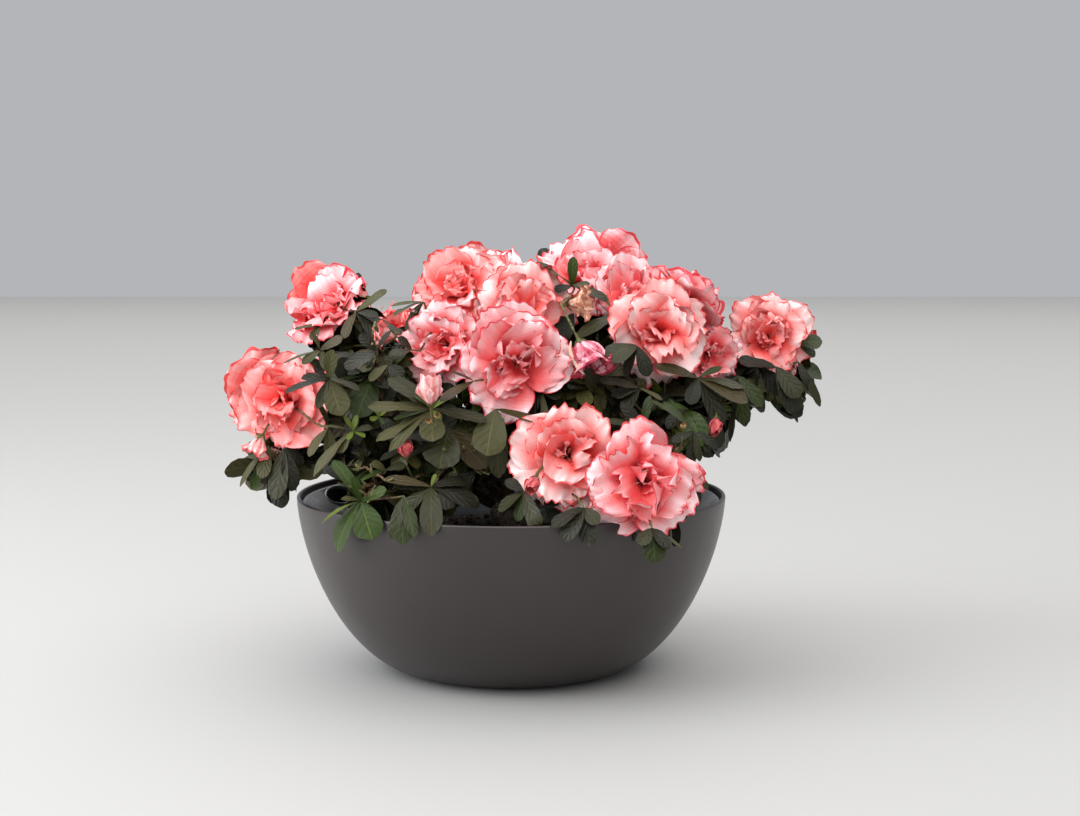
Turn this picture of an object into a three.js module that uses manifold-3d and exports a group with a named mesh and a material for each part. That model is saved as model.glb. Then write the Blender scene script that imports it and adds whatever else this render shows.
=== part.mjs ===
// An azalea shrub in a round bowl planter with a self-watering liner.
// Millimetres, +Z up. The origin is the centre of the bowl's flat foot.
// The viewer of the shrub's best side stands on the -Y side, with +X to the right.
import * as THREE from "three";
import { mergeVertices } from "three/addons/utils/BufferGeometryUtils.js";
import loadManifold from "manifold-3d";

const wasm = await loadManifold();
wasm.setup();

// Corners nearer than this are one corner
const MERGE_DISTANCE = 1e-4;

// Driving dimensions of the planter
const GAP = 0.3;
const BOWL_RADIUS = 140;
const BOWL_HEIGHT = 114;
const BOWL_FOOT_RADIUS = 66;
const BOWL_WALL = 2.6;
const BOWL_FLOOR = 4;
const BELLY_RISE_POWER = 1.584;
const BELLY_ROUND_POWER = 1.87;
const BOWL_SIDES = 36;
const BOWL_PROFILE_STEPS = 7;

const LINER_FLANGE_TOP = 110.4;
const LINER_FLANGE_DEPTH = 1.4;
const LINER_PLAY = 0.7;
const LINER_FLANGE_WIDTH = 2.4;
const LINER_COLLAR_DROP = 26;
const LINER_WALL = 2.2;
const LINER_KNEE_BULGE = 9;
const LINER_KNEE_DROP = 8;
const LINER_FLOOR_RADIUS = 60;
const LINER_FLOOR_HEIGHT = 30;
const LINER_SIDES = 36;

const FILLER_AZIMUTH = THREE.MathUtils.degToRad(158);
const FILLER_HEIGHT = 104.3;
const FILLER_HALF_LENGTH = 17;
const FILLER_HALF_WIDTH = 6.6;
const FILLER_LIP_WIDTH = 1.8;
const FILLER_LIP_RISE = 1.2;
const FILLER_CUT_DEPTH = 8.8;
const OVAL_SIDES = 16;

const SOIL_HEIGHT = 88;
const SOIL_EDGE_DROP = 5;
const SOIL_FLAT_RADIUS = 24;

// Driving dimensions of the wood
const STEM_TOP = [-2, 2, 108];
const STEM_RADIUS = 8.4;
const STEM_FLARE = 5;
const STEM_FLARE_REACH = 0.22;
const STEM_SIDES = 10;
const STEM_RINGS = 6;
const BOUGH_SIDES = 6;
const BOUGH_RINGS = 5;

// Crown masses: centre and half sizes in mm, finish, and how finely the solid is faceted
const MASSES = [
  { name: "left_low", at: [-143, -44, 176], half: [35, 36, 36], look: "blossom", fine: 2 },
  { name: "left_hanging", at: [-140, -50, 137], half: [26, 26, 23], look: "foliage", fine: 2 },
  { name: "left_high", at: [-117, -10, 238], half: [33, 34, 27], look: "blossom", fine: 2 },
  { name: "left_middle", at: [-84, -44, 186], half: [42, 42, 46], look: "foliage", fine: 2 },
  { name: "left_rim", at: [-82, -104, 130], half: [34, 34, 34], look: "foliage", fine: 2 },
  { name: "front_left", at: [-30, -84, 152], half: [50, 44, 38], look: "foliage", fine: 2 },
  { name: "top_left", at: [-16, -6, 246], half: [48, 46, 32], look: "blossom", fine: 3 },
  { name: "upper_left", at: [-44, -52, 214], half: [32, 34, 31], look: "blossom", fine: 2 },
  { name: "front_middle", at: [4, -82, 207], half: [38, 40, 36], look: "blossom", fine: 2 },
  { name: "top", at: [52, 14, 256], half: [42, 44, 30], look: "blossom", fine: 3 },
  { name: "right_high", at: [98, -44, 226], half: [37, 40, 35], look: "blossom", fine: 2 },
  { name: "right_far", at: [168, -6, 206], half: [35, 38, 45], look: "blossom", fine: 3 },
  { name: "right_middle", at: [112, -44, 178], half: [44, 44, 34], look: "foliage", fine: 2 },
  { name: "inner_right", at: [56, -54, 190], half: [38, 42, 36], look: "foliage", fine: 2 },
  { name: "front_right", at: [34, -110, 153], half: [36, 38, 36], look: "blossom", fine: 2 },
  { name: "right_rim", at: [82, -110, 134], half: [36, 42, 42], look: "blossom", fine: 2 },
  { name: "back_left", at: [-86, 54, 190], half: [46, 52, 50], look: "blossom", fine: 3 },
  { name: "back", at: [-4, 84, 200], half: [54, 52, 52], look: "blossom", fine: 3 },
  { name: "back_right", at: [92, 56, 194], half: [52, 52, 50], look: "blossom", fine: 3 },
  { name: "back_rim_left", at: [-54, 106, 138], half: [50, 42, 36], look: "foliage", fine: 2 },
  { name: "back_rim_right", at: [56, 104, 138], half: [50, 42, 36], look: "foliage", fine: 2 },
];
const LOBES = 8;
const FIRST_LOBE_SEED = 11;
const LOBE_SHARPNESS = 6;
const MASS_CORE = 0.87;
const MASS_LOBE = 0.2;

// Boughs: parent limb, place along it, the mass that each enters, which also names it,
// radii at both ends, and the share of its climb that it makes in its first half
const BOUGHS = [
  { parent: "stem", along: 0.8, enters: "left_middle", radii: [4.2, 2.4], climb: 0.45 },
  { parent: "stem", along: 0.66, enters: "front_left", radii: [4, 2.4], climb: 0.5 },
  { parent: "stem", along: 0.72, enters: "front_right", radii: [4, 2.2], climb: 0.5 },
  { parent: "stem", along: 0.8, enters: "right_middle", radii: [4.2, 2.4], climb: 0.4 },
  { parent: "stem", along: 0.7, enters: "back_left", radii: [4.2, 2.4], climb: 0.45 },
  { parent: "stem", along: 0.7, enters: "back_right", radii: [4.2, 2.4], climb: 0.45 },
  { parent: "stem", along: 0.97, enters: "top_left", radii: [5, 2.6], climb: 0.5 },
  { parent: "top_left", along: 0.2, enters: "back", radii: [3.4, 2.2], climb: 0.4 },
  { parent: "top_left", along: 0.4, enters: "top", radii: [3.2, 2], climb: 0.5 },
  { parent: "top_left", along: 0.3, enters: "front_middle", radii: [3, 1.9], climb: 0.45 },
  { parent: "top_left", along: 0.5, enters: "upper_left", radii: [2.8, 1.8], climb: 0.5 },
  { parent: "top_left", along: 0.25, enters: "left_high", radii: [2.8, 1.8], climb: 0.45 },
  { parent: "right_middle", along: 0.3, enters: "inner_right", radii: [2.8, 1.8], climb: 0.5 },
  { parent: "right_middle", along: 0.36, enters: "right_far", radii: [3.2, 1.8], climb: 0.05 },
  { parent: "left_middle", along: 0.34, enters: "left_low", radii: [3, 1.8], climb: 0.22 },
  { parent: "left_low", along: 0.25, enters: "left_rim", radii: [2.6, 1.8], climb: 0.3 },
  { parent: "front_right", along: 0.3, enters: "right_rim", radii: [3, 1.8], climb: 0.5 },
  { parent: "back_left", along: 0.25, enters: "back_rim_left", radii: [2.8, 1.8], climb: 0.5 },
  { parent: "back_right", along: 0.25, enters: "back_rim_right", radii: [2.8, 1.8], climb: 0.5 },
];

const COLORS = {
  bowl: 0x5b5756,
  liner: 0x8a8f92,
  soil: 0x2b211a,
  bark: 0x6d5a47,
  foliage: 0x3f5237,
  blossom: 0xee8f88,
};
const ROUGHNESS = { bowl: 0.45, liner: 0.3, soil: 0.95, bark: 0.85, foliage: 0.6, blossom: 0.65 };

// Repeatable pseudo-random numbers between 0 and 1 from a whole-number seed
function seededRandom(seed) {
  let state = seed * 2654435761;
  return () => {
    state = (state + 0x6d2b79f5) | 0;
    let mixed = Math.imul(state ^ (state >>> 15), 1 | state);
    mixed = (mixed + Math.imul(mixed ^ (mixed >>> 7), 61 | mixed)) ^ mixed;
    return ((mixed ^ (mixed >>> 14)) >>> 0) / 4294967296;
  };
}

// A closed solid from a closed geometry: shared corners are merged and flat-out slivers dropped
function toSolid(geometry) {
  geometry.deleteAttribute("normal");
  geometry.deleteAttribute("uv");
  const merged = mergeVertices(geometry, MERGE_DISTANCE);
  const corners = merged.index.array;
  const kept = [];
  for (let i = 0; i < corners.length; i += 3) {
    const [a, b, c] = [corners[i], corners[i + 1], corners[i + 2]];
    if (a !== b && b !== c && c !== a) kept.push(a, b, c);
  }
  const vertProperties = new Float32Array(merged.attributes.position.array);
  const triVerts = new Uint32Array(kept);
  return new wasm.Manifold(new wasm.Mesh({ numProp: 3, vertProperties, triVerts }));
}

function toGeometry(solid) {
  const mesh = solid.getMesh();
  const geometry = new THREE.BufferGeometry();
  geometry.setAttribute("position", new THREE.BufferAttribute(mesh.vertProperties, 3));
  geometry.setIndex(new THREE.BufferAttribute(mesh.triVerts, 1));
  geometry.computeVertexNormals();
  return geometry;
}

// The largest connected body of a solid, so that a cut leaves no crumbs
function mainBody(solid) {
  const bodies = solid.decompose();
  return bodies.reduce((best, body) => (body.volume() > best.volume() ? body : best));
}

function named(name, solid, look) {
  const material = new THREE.MeshStandardMaterial({
    color: COLORS[look],
    roughness: ROUGHNESS[look],
    metalness: 0,
  });
  const mesh = new THREE.Mesh(toGeometry(solid), material);
  mesh.name = name;
  return mesh;
}

// A solid of revolution about Z from a profile of [radius, height] pairs
function turned(profile, sides) {
  const points = profile.map(([radius, height]) => new THREE.Vector2(radius, height));
  return toSolid(new THREE.LatheGeometry(points, sides).rotateX(Math.PI / 2));
}

// The bowl's outer radius at a height: a rounded belly that rises from the foot to a plumb rim
function bowlRadius(height) {
  const share = Math.min(height / BOWL_HEIGHT, 1);
  const fullness = (1 - (1 - share) ** BELLY_RISE_POWER) ** (1 / BELLY_ROUND_POWER);
  return BOWL_FOOT_RADIUS + (BOWL_RADIUS - BOWL_FOOT_RADIUS) * fullness;
}

// Points of the belly curve from one height to another, packed towards the foot and the rim
function bellyCurve(fromHeight, toHeight, inset) {
  const points = [];
  for (let i = 0; i <= BOWL_PROFILE_STEPS; i++) {
    const share = (1 - Math.cos((Math.PI * i) / BOWL_PROFILE_STEPS)) / 2;
    const height = fromHeight + (toHeight - fromHeight) * share;
    points.push([bowlRadius(height) - inset, height]);
  }
  return points;
}

// The bowl: one thin wall that follows the belly inside and out, on a flat floor
function bowlShell() {
  const outside = bellyCurve(0, BOWL_HEIGHT, 0);
  const inside = bellyCurve(BOWL_FLOOR, BOWL_HEIGHT, BOWL_WALL).reverse();
  return turned([[0, 0], ...outside, ...inside, [0, BOWL_FLOOR]], BOWL_SIDES);
}

// The bowl taken as full to its rim and a gap larger all round, which foliage is trimmed by
function bowlEnvelope() {
  const outside = bellyCurve(0, BOWL_HEIGHT, -GAP);
  const top = BOWL_HEIGHT + GAP;
  const foot = [[0, -GAP], [BOWL_FOOT_RADIUS, -GAP]];
  return turned([...foot, ...outside, [BOWL_RADIUS + GAP, top], [0, top]], BOWL_SIDES);
}

const LINER_RADIUS = bowlRadius(LINER_FLANGE_TOP - LINER_FLANGE_DEPTH) - BOWL_WALL - LINER_PLAY;
const COLLAR_RADIUS = LINER_RADIUS - LINER_FLANGE_WIDTH;
const WELL_RADIUS = COLLAR_RADIUS - LINER_COLLAR_DROP;
const WELL_HEIGHT = LINER_FLANGE_TOP - LINER_COLLAR_DROP;
const WELL_KNEE_RADIUS = (WELL_RADIUS + LINER_FLOOR_RADIUS) / 2 + LINER_KNEE_BULGE;
const WELL_KNEE_HEIGHT = (WELL_HEIGHT + LINER_FLOOR_HEIGHT) / 2 - LINER_KNEE_DROP;

// The planting well's side from its floor up to the foot of the collar, moved inwards by an inset
function wellSide(inset, floor) {
  return [
    [0, floor],
    [LINER_FLOOR_RADIUS - inset, floor],
    [WELL_KNEE_RADIUS - inset, WELL_KNEE_HEIGHT + inset / 2],
    [WELL_RADIUS - inset, WELL_HEIGHT],
  ];
}

// The oval of the filler opening, set square into the collar's face, grown by a margin
function fillerOval(margin, below, above) {
  const outline = new THREE.Shape();
  outline.absellipse(0, 0, FILLER_HALF_LENGTH + margin, FILLER_HALF_WIDTH + margin, 0, 2 * Math.PI);
  const depth = below + above;
  const plug = new THREE.ExtrudeGeometry(outline, { depth, bevelEnabled: false, curveSegments: OVAL_SIDES });
  const outward = new THREE.Vector3(Math.cos(FILLER_AZIMUTH), Math.sin(FILLER_AZIMUTH), 0);
  const along = new THREE.Vector3(outward.y, -outward.x, 0);
  const upSlope = outward.clone().setZ(1).normalize();
  const facing = new THREE.Vector3().crossVectors(along, upSlope);
  const centre = outward.clone().multiplyScalar(COLLAR_RADIUS - (LINER_FLANGE_TOP - FILLER_HEIGHT));
  centre.setZ(FILLER_HEIGHT).addScaledVector(facing, -below);
  const place = new THREE.Matrix4().makeBasis(along, upSlope, facing).setPosition(centre);
  return toSolid(plug.applyMatrix4(place));
}

// A pot that hangs in the bowl by its flange, with a 45 degree collar down to the planting well
function liner() {
  const flangeBottom = LINER_FLANGE_TOP - LINER_FLANGE_DEPTH;
  const inside = wellSide(LINER_WALL, LINER_FLOOR_HEIGHT + LINER_WALL);
  const outside = wellSide(0, LINER_FLOOR_HEIGHT);
  const slant = LINER_WALL * Math.SQRT2;
  const body = turned(
    [
      ...outside.slice(0, 3),
      [WELL_RADIUS, WELL_HEIGHT - slant / 2],
      [COLLAR_RADIUS + LINER_WALL, flangeBottom],
      [LINER_RADIUS, flangeBottom],
      [LINER_RADIUS, LINER_FLANGE_TOP],
      [COLLAR_RADIUS, LINER_FLANGE_TOP],
      ...inside.reverse(),
    ],
    LINER_SIDES,
  );
  const lip = fillerOval(FILLER_LIP_WIDTH, LINER_WALL / 2, FILLER_LIP_RISE);
  return body.add(lip).subtract(fillerOval(0, FILLER_CUT_DEPTH, FILLER_CUT_DEPTH));
}

// The root ball's compost: it fills the well and falls a little from the stem to its edge
function soil() {
  const inset = LINER_WALL + GAP;
  const lower = wellSide(inset, LINER_FLOOR_HEIGHT + inset);
  const edge = SOIL_HEIGHT - SOIL_EDGE_DROP;
  const well = lower[2];
  const rise = (edge - well[1]) / (WELL_HEIGHT - well[1]);
  const edgeRadius = well[0] + (lower[3][0] - well[0]) * rise;
  const top = [[edgeRadius, edge], [SOIL_FLAT_RADIUS, SOIL_HEIGHT], [0, SOIL_HEIGHT]];
  return turned([...lower.slice(0, 3), ...top], LINER_SIDES);
}

// A round bar of unit size, bent along a curve and given its radius ring by ring
function bentBar(curve, radiusAt, sides, rings) {
  const bar = new THREE.CylinderGeometry(1, 1, 1, sides, rings);
  const frames = curve.computeFrenetFrames(rings);
  const corners = bar.attributes.position;
  const place = new THREE.Vector3();
  for (let i = 0; i < corners.count; i++) {
    const share = corners.getY(i) + 0.5;
    const ring = Math.round(share * rings);
    const radius = radiusAt(share);
    place.copy(curve.getPointAt(ring / rings));
    place.addScaledVector(frames.normals[ring], corners.getX(i) * radius);
    place.addScaledVector(frames.binormals[ring], -corners.getZ(i) * radius);
    corners.setXYZ(i, place.x, place.y, place.z);
  }
  return toSolid(bar);
}

const STEM_CURVE = new THREE.QuadraticBezierCurve3(
  new THREE.Vector3(0, 0, SOIL_HEIGHT + GAP),
  new THREE.Vector3(0, 0, (SOIL_HEIGHT + STEM_TOP[2]) / 2),
  new THREE.Vector3(...STEM_TOP),
);

// The stem's radius: a root flare that dies away upwards from the flat cut at the soil
function stemRadius(share) {
  return STEM_RADIUS + STEM_FLARE * Math.exp(-share / STEM_FLARE_REACH);
}

function stem(grown) {
  return bentBar(STEM_CURVE, (share) => stemRadius(share) + grown, STEM_SIDES, STEM_RINGS);
}

function massNamed(name) {
  return MASSES.find((mass) => mass.name === name);
}

// How far a mass reaches from its centre in a direction, taken as a plain ellipsoid
function reach(mass, direction) {
  return Math.hypot(...mass.half.map((size, axis) => size * direction.getComponent(axis)));
}

// The flat limits between a mass and each other one: a direction and a distance from its centre
function limitsOf(mass) {
  const centre = new THREE.Vector3(...mass.at);
  return MASSES.filter((other) => other !== mass).map((other) => {
    const apart = new THREE.Vector3(...other.at).sub(centre);
    const distance = apart.length();
    const direction = apart.normalize();
    const share = reach(mass, direction) / (reach(mass, direction) + reach(other, direction));
    return { direction, distance: distance * share - GAP / 2 };
  });
}

function seededDirection(random) {
  const turn = 2 * Math.PI * random();
  const height = 2 * random() - 1;
  const around = Math.sqrt(1 - height * height);
  return new THREE.Vector3(around * Math.cos(turn), around * Math.sin(turn), height);
}

function lobesOf(mass) {
  const random = seededRandom(MASSES.indexOf(mass) + FIRST_LOBE_SEED);
  return Array.from({ length: LOBES }, () => seededDirection(random));
}

// An uneven ellipsoid: a core with seeded lobes, kept on its own side of the limits to its neighbours
function foliageMass(mass, grown) {
  const geometry = new THREE.IcosahedronGeometry(1, mass.fine);
  const corners = geometry.attributes.position;
  const limits = limitsOf(mass);
  const lobes = lobesOf(mass);
  const arm = new THREE.Vector3();
  for (let i = 0; i < corners.count; i++) {
    arm.fromBufferAttribute(corners, i).normalize();
    const swell = Math.max(...lobes.map((lobe) => Math.max(arm.dot(lobe), 0) ** LOBE_SHARPNESS));
    arm.multiply(new THREE.Vector3(...mass.half)).multiplyScalar(MASS_CORE + MASS_LOBE * swell);
    for (const { direction, distance } of limits) {
      const towards = arm.dot(direction);
      if (towards > distance) arm.multiplyScalar(distance / towards);
    }
    arm.setLength(arm.length() + grown);
    corners.setXYZ(i, mass.at[0] + arm.x, mass.at[1] + arm.y, mass.at[2] + arm.z);
  }
  return toSolid(geometry);
}

// The path of a bough from inside its parent to inside the mass that it enters
function boughCurve(bough, curves) {
  const start = curves[bough.parent].getPointAt(bough.along);
  const end = new THREE.Vector3(...massNamed(bough.enters).at);
  const knee = start.clone().lerp(end, 0.5);
  knee.z = start.z + (end.z - start.z) * bough.climb;
  return new THREE.QuadraticBezierCurve3(start, knee, end);
}

function boughBar(bough, curve, grown) {
  const [thick, thin] = bough.radii;
  return bentBar(curve, (share) => thick + (thin - thick) * share + grown, BOUGH_SIDES, BOUGH_RINGS);
}

const shrub = new THREE.Group();
shrub.add(named("planter_bowl", bowlShell(), "bowl"));
shrub.add(named("planter_liner", liner(), "liner"));
shrub.add(named("planting_soil", soil(), "soil"));
shrub.add(named("stem", stem(0), "bark"));

// Each bough is cut back by the wood before it and by the masses, so it ends where it enters one
const crown = MASSES.map((mass) => foliageMass(mass, GAP)).reduce((all, one) => all.add(one));
const curves = { stem: STEM_CURVE };
let wood = stem(GAP);
for (const bough of BOUGHS) {
  const curve = boughCurve(bough, curves);
  curves[bough.enters] = curve;
  const limb = boughBar(bough, curve, 0);
  shrub.add(named(`bough_${bough.enters}`, mainBody(limb.subtract(wood).subtract(crown)), "bark"));
  wood = wood.add(boughBar(bough, curve, GAP));
}

const bowlRoom = bowlEnvelope();
for (const mass of MASSES) {
  const body = mainBody(foliageMass(mass, 0).subtract(bowlRoom));
  shrub.add(named(`mass_${mass.name}`, body, mass.look));
}

export default shrub;
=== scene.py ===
# %% [markdown]
# # A pot azalea in its bowl planter
# This lesson dresses a measured model in the looks of the real thing. The model holds a bowl, a liner,
# compost, a stem with nineteen boughs and twenty-one plain solids where the crown's masses are. The
# bowl, liner and wood get finer surfaces in the same places, and each plain mass gives way to twigs,
# leaves and blooms that grow on from the boughs. Everything is in metres, with Z up.

# %% The measured model
import math
import bmesh
import bpy
import numpy as np
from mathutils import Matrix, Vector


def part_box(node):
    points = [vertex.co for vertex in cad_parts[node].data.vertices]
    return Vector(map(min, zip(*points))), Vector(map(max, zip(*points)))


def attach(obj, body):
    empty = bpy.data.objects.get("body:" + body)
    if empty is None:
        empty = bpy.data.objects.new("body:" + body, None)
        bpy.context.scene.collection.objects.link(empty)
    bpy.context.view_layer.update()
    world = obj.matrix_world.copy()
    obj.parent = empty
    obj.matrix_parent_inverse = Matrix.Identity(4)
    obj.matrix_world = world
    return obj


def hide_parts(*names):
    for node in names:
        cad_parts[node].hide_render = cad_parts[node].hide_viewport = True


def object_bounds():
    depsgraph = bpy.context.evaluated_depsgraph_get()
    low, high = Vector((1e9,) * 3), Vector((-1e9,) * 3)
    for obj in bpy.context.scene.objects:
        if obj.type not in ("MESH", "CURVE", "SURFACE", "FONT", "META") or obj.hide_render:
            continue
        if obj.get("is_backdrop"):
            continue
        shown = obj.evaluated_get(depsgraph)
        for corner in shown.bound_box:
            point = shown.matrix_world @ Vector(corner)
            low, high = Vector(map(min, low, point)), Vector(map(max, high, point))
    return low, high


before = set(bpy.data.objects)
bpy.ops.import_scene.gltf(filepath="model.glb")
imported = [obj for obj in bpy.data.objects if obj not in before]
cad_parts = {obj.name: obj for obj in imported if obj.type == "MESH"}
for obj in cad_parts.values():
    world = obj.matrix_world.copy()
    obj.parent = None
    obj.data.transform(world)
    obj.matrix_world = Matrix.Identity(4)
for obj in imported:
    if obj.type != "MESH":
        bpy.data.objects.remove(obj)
CAD_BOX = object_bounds()
MM = 0.001
print("measured box in mm", [[round(v / MM, 1) for v in corner] for corner in CAD_BOX])

# %% [markdown]
# ## The camera
# The viewer stands a little over a metre from the plant and looks slightly down on it, so the bowl's
# rim shows as a flat ellipse and its belly in profile. The focal length and the downward pitch were
# found from that ellipse and the bowl's outline. A point in the picture is turned back into a place on
# an upright plane at a chosen depth, which is how the blooms that the viewer knows find their places.

# %% Camera
PICTURE_WIDTH = 1080
PICTURE_HEIGHT = 816
FOCAL_PIXELS = 1752.6
SENSOR_WIDTH = 36.0
CAMERA_PLACE = np.array([18.73, -1142.0, 281.25]) * MM
PITCH_DOWN = math.radians(5.605)


def add_object(name, data):
    """A new object, linked into the scene."""
    added = bpy.data.objects.new(name, data)
    bpy.context.collection.objects.link(added)
    return added


camera_data = bpy.data.cameras.new("camera")
camera_data.sensor_width = SENSOR_WIDTH
camera_data.lens = FOCAL_PIXELS / PICTURE_WIDTH * SENSOR_WIDTH
camera_data.clip_start = 0.05
camera_data.clip_end = 60.0
camera = add_object("camera", camera_data)
camera.location = CAMERA_PLACE
camera.rotation_euler = (math.pi / 2 - PITCH_DOWN, 0.0, 0.0)
bpy.context.scene.camera = camera


def at_pixel(across, down, depth):
    """The places seen at pixels on the plane y = depth: the camera's place plus the pixel's ray,
    (across - half the width, focal length, half the height - down) turned down by the pitch."""
    up = PICTURE_HEIGHT / 2 - np.asarray(down)
    ray = np.stack([
        across - PICTURE_WIDTH / 2,
        FOCAL_PIXELS * math.cos(PITCH_DOWN) + up * math.sin(PITCH_DOWN),
        up * math.cos(PITCH_DOWN) - FOCAL_PIXELS * math.sin(PITCH_DOWN),
    ], axis=-1)
    return CAMERA_PLACE + ray * np.expand_dims(depth - CAMERA_PLACE[1], -1) / ray[..., 1:2]


def in_picture(points):
    """The pixel (across, down) at which each place is seen, which is at_pixel turned round."""
    arm = points - CAMERA_PLACE
    ahead = arm[..., 1] * math.cos(PITCH_DOWN) - arm[..., 2] * math.sin(PITCH_DOWN)
    up = arm[..., 1] * math.sin(PITCH_DOWN) + arm[..., 2] * math.cos(PITCH_DOWN)
    across = PICTURE_WIDTH / 2 + FOCAL_PIXELS * arm[..., 0] / ahead
    return np.stack([across, PICTURE_HEIGHT / 2 - FOCAL_PIXELS * up / ahead], axis=-1)


print("lens", round(camera_data.lens, 2), "the picture's middle at the stem in mm",
      (at_pixel(PICTURE_WIDTH / 2, PICTURE_HEIGHT / 2, 0.0) / MM).round(1))

# %% [markdown]
# ## Tools for surfaces
# Every new piece is an array of points and a list of faces between them. A grid of points is the usual
# form: a turned pot, a tube, a leaf and a petal are all one function of two parameters. The helpers
# below number a grid's faces, repeat them for many copies at once and pass the arrays to Blender.

# %% Grids and pieces
BLADE_MAP = "blade"
MERGE_DISTANCE = 2e-6


def grid_faces(rows, columns, wrap=False):
    """Four-cornered faces between a grid's points, numbered row by row. With wrap, the last column
    joins the first."""
    row, column = np.meshgrid(np.arange(rows - 1), np.arange(columns - (not wrap)), indexing="ij")
    beside = (column + 1) % columns
    corners = [row * columns + column, row * columns + beside]
    corners += [(row + 1) * columns + beside, (row + 1) * columns + column]
    return np.stack(corners, axis=-1).reshape(-1, 4)


def add_piece(name, points, faces, finishes, dealt=None, blade=None):
    """One mesh from points (n, 3) and faces (m, 4). dealt gives each face the place of its finish in
    the list, and blade gives each point its place on its own leaf (n, 2) as a UV map."""
    mesh = bpy.data.meshes.new(name)
    mesh.vertices.add(len(points))
    mesh.vertices.foreach_set("co", points.astype(np.float32).ravel())
    mesh.loops.add(faces.size)
    mesh.loops.foreach_set("vertex_index", faces.astype(np.int32).ravel())
    mesh.polygons.add(len(faces))
    mesh.polygons.foreach_set("loop_start", np.arange(0, faces.size, 4, dtype=np.int32))
    for finish in finishes:
        mesh.materials.append(finish)
    if dealt is not None:
        mesh.polygons.foreach_set("material_index", dealt.astype(np.int32).ravel())
    mesh.polygons.foreach_set("use_smooth", np.full(len(faces), True))
    if blade is not None:
        layer = mesh.uv_layers.new(name=BLADE_MAP)
        layer.data.foreach_set("uv", blade[faces.ravel()].astype(np.float32).ravel())
    mesh.update(calc_edges=True)
    mesh.validate()
    piece = add_object(name, mesh)
    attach(piece, "root")
    return piece


def add_grids(name, grids, finishes, dealt=None, blade=None, wrap=False):
    """One piece from a grid of points (rows, columns, 3), or from many equal ones laid end to end: each
    one's face numbers move on by the points before it."""
    rows, columns = grids.shape[-3:-1]
    points = grids.reshape(-1, 3)
    steps = np.arange(0, len(points), rows * columns)[:, None, None]
    faces = (grid_faces(rows, columns, wrap) + steps).reshape(-1, 4)
    return add_piece(name, points, faces, finishes, dealt, blade)


def close_mesh(piece, fill=False):
    """Merges points that lie on one another, as in a ring drawn in to a pole, fills open ends if asked,
    and turns the faces outwards."""
    mesh = bmesh.new()
    mesh.from_mesh(piece.data)
    bmesh.ops.remove_doubles(mesh, verts=mesh.verts, dist=MERGE_DISTANCE)
    bmesh.ops.dissolve_degenerate(mesh, dist=MERGE_DISTANCE / 2, edges=mesh.edges)
    if fill:
        bmesh.ops.holes_fill(mesh, edges=mesh.edges, sides=0)
    bmesh.ops.recalc_face_normals(mesh, faces=mesh.faces)
    mesh.to_mesh(piece.data)
    mesh.free()


print("faces in a 3 by 4 grid", len(grid_faces(3, 4)), "and closed", len(grid_faces(3, 4, True)))

# %% Directions and unevenness
# Waves in an octave of unevenness, and what their sum and the octaves' sum usually reach
WAVES = 7
WAVES_REACH = 3.7
OCTAVES_REACH = 1.6


def turned_points(profile, sides):
    """A profile of (radius, height) pairs carried round Z: x = r cos a, y = r sin a, z = h."""
    angle = np.arange(sides) * 2 * np.pi / sides
    radius, height = np.asarray(profile, dtype=float).T
    points = np.empty((len(radius), sides, 3))
    points[..., 0] = radius[:, None] * np.cos(angle)
    points[..., 1] = radius[:, None] * np.sin(angle)
    points[..., 2] = height[:, None]
    return points


def unit(vectors):
    """Vectors divided by their own length."""
    return vectors / np.maximum(np.linalg.norm(vectors, axis=-1, keepdims=True), 1e-12)


def square_to(axis, vectors):
    """The part of each vector that is square to an axis of length 1, as a direction."""
    return unit(vectors - (vectors * axis).sum(-1, keepdims=True) * axis)


def around(axis, azimuth):
    """Directions square to an axis, turned round it by an angle."""
    helper = np.eye(3)[np.argmin(np.abs(axis), axis=-1)]
    u = unit(np.cross(axis, helper))
    return np.cos(azimuth)[:, None] * u + np.sin(azimuth)[:, None] * np.cross(axis, u)


def uneven(points, size, seed, octaves=3):
    """Soft unevenness between about -1 and 1: a sum of sine waves in seeded directions, whose length
    starts at size and halves, as their strength does, with each octave."""
    random = np.random.default_rng(seed)
    total = np.zeros(points.shape[:-1])
    for octave in range(octaves):
        waves = unit(random.normal(size=(WAVES, 3))) * (2 * np.pi / size) * 2**octave
        phases = random.uniform(0, 2 * np.pi, WAVES)
        total += np.sin(points @ waves.T + phases).sum(axis=-1) / WAVES_REACH / 2**octave
    return total / OCTAVES_REACH


sample = np.random.default_rng(1).uniform(size=(500, 3))
print("the unevenness spreads by", uneven(sample, 0.1, 2).std().round(2))

# %% [markdown]
# ## Finishes
# A finish is a Principled shader with a colour, a roughness and a fine grain in its normal. Colours are
# given as a paint card would, in 0 to 255, and turned into the linear numbers that the shader wants.
# Leaves and petals keep one plain colour for each finish, and the pattern comes from dealing many such
# finishes over the faces, because a piece of thousands of leaves has no space for a picture of its
# colours. Their grain and gloss still come from noise.

# %% Paint and grain
NOISE_ROUGHNESS = 0.55


def paint(red, green, blue):
    """A display colour from 0 to 255 as linear light: c / 12.92 for dark values, else
    ((c + 0.055) / 1.055) to the power 2.4."""
    shade = np.array([red, green, blue]) / 255
    linear = np.where(shade <= 0.04045, shade / 12.92, ((shade + 0.055) / 1.055) ** 2.4)
    return (*linear.tolist(), 1.0)


def feed(tree, node, inputs):
    """Sets a node's inputs, each to a value or to another node's output."""
    for name, value in inputs.items():
        if isinstance(value, bpy.types.NodeSocket):
            tree.links.new(value, node.inputs[name])
        else:
            node.inputs[name].default_value = value
    return node


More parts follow.
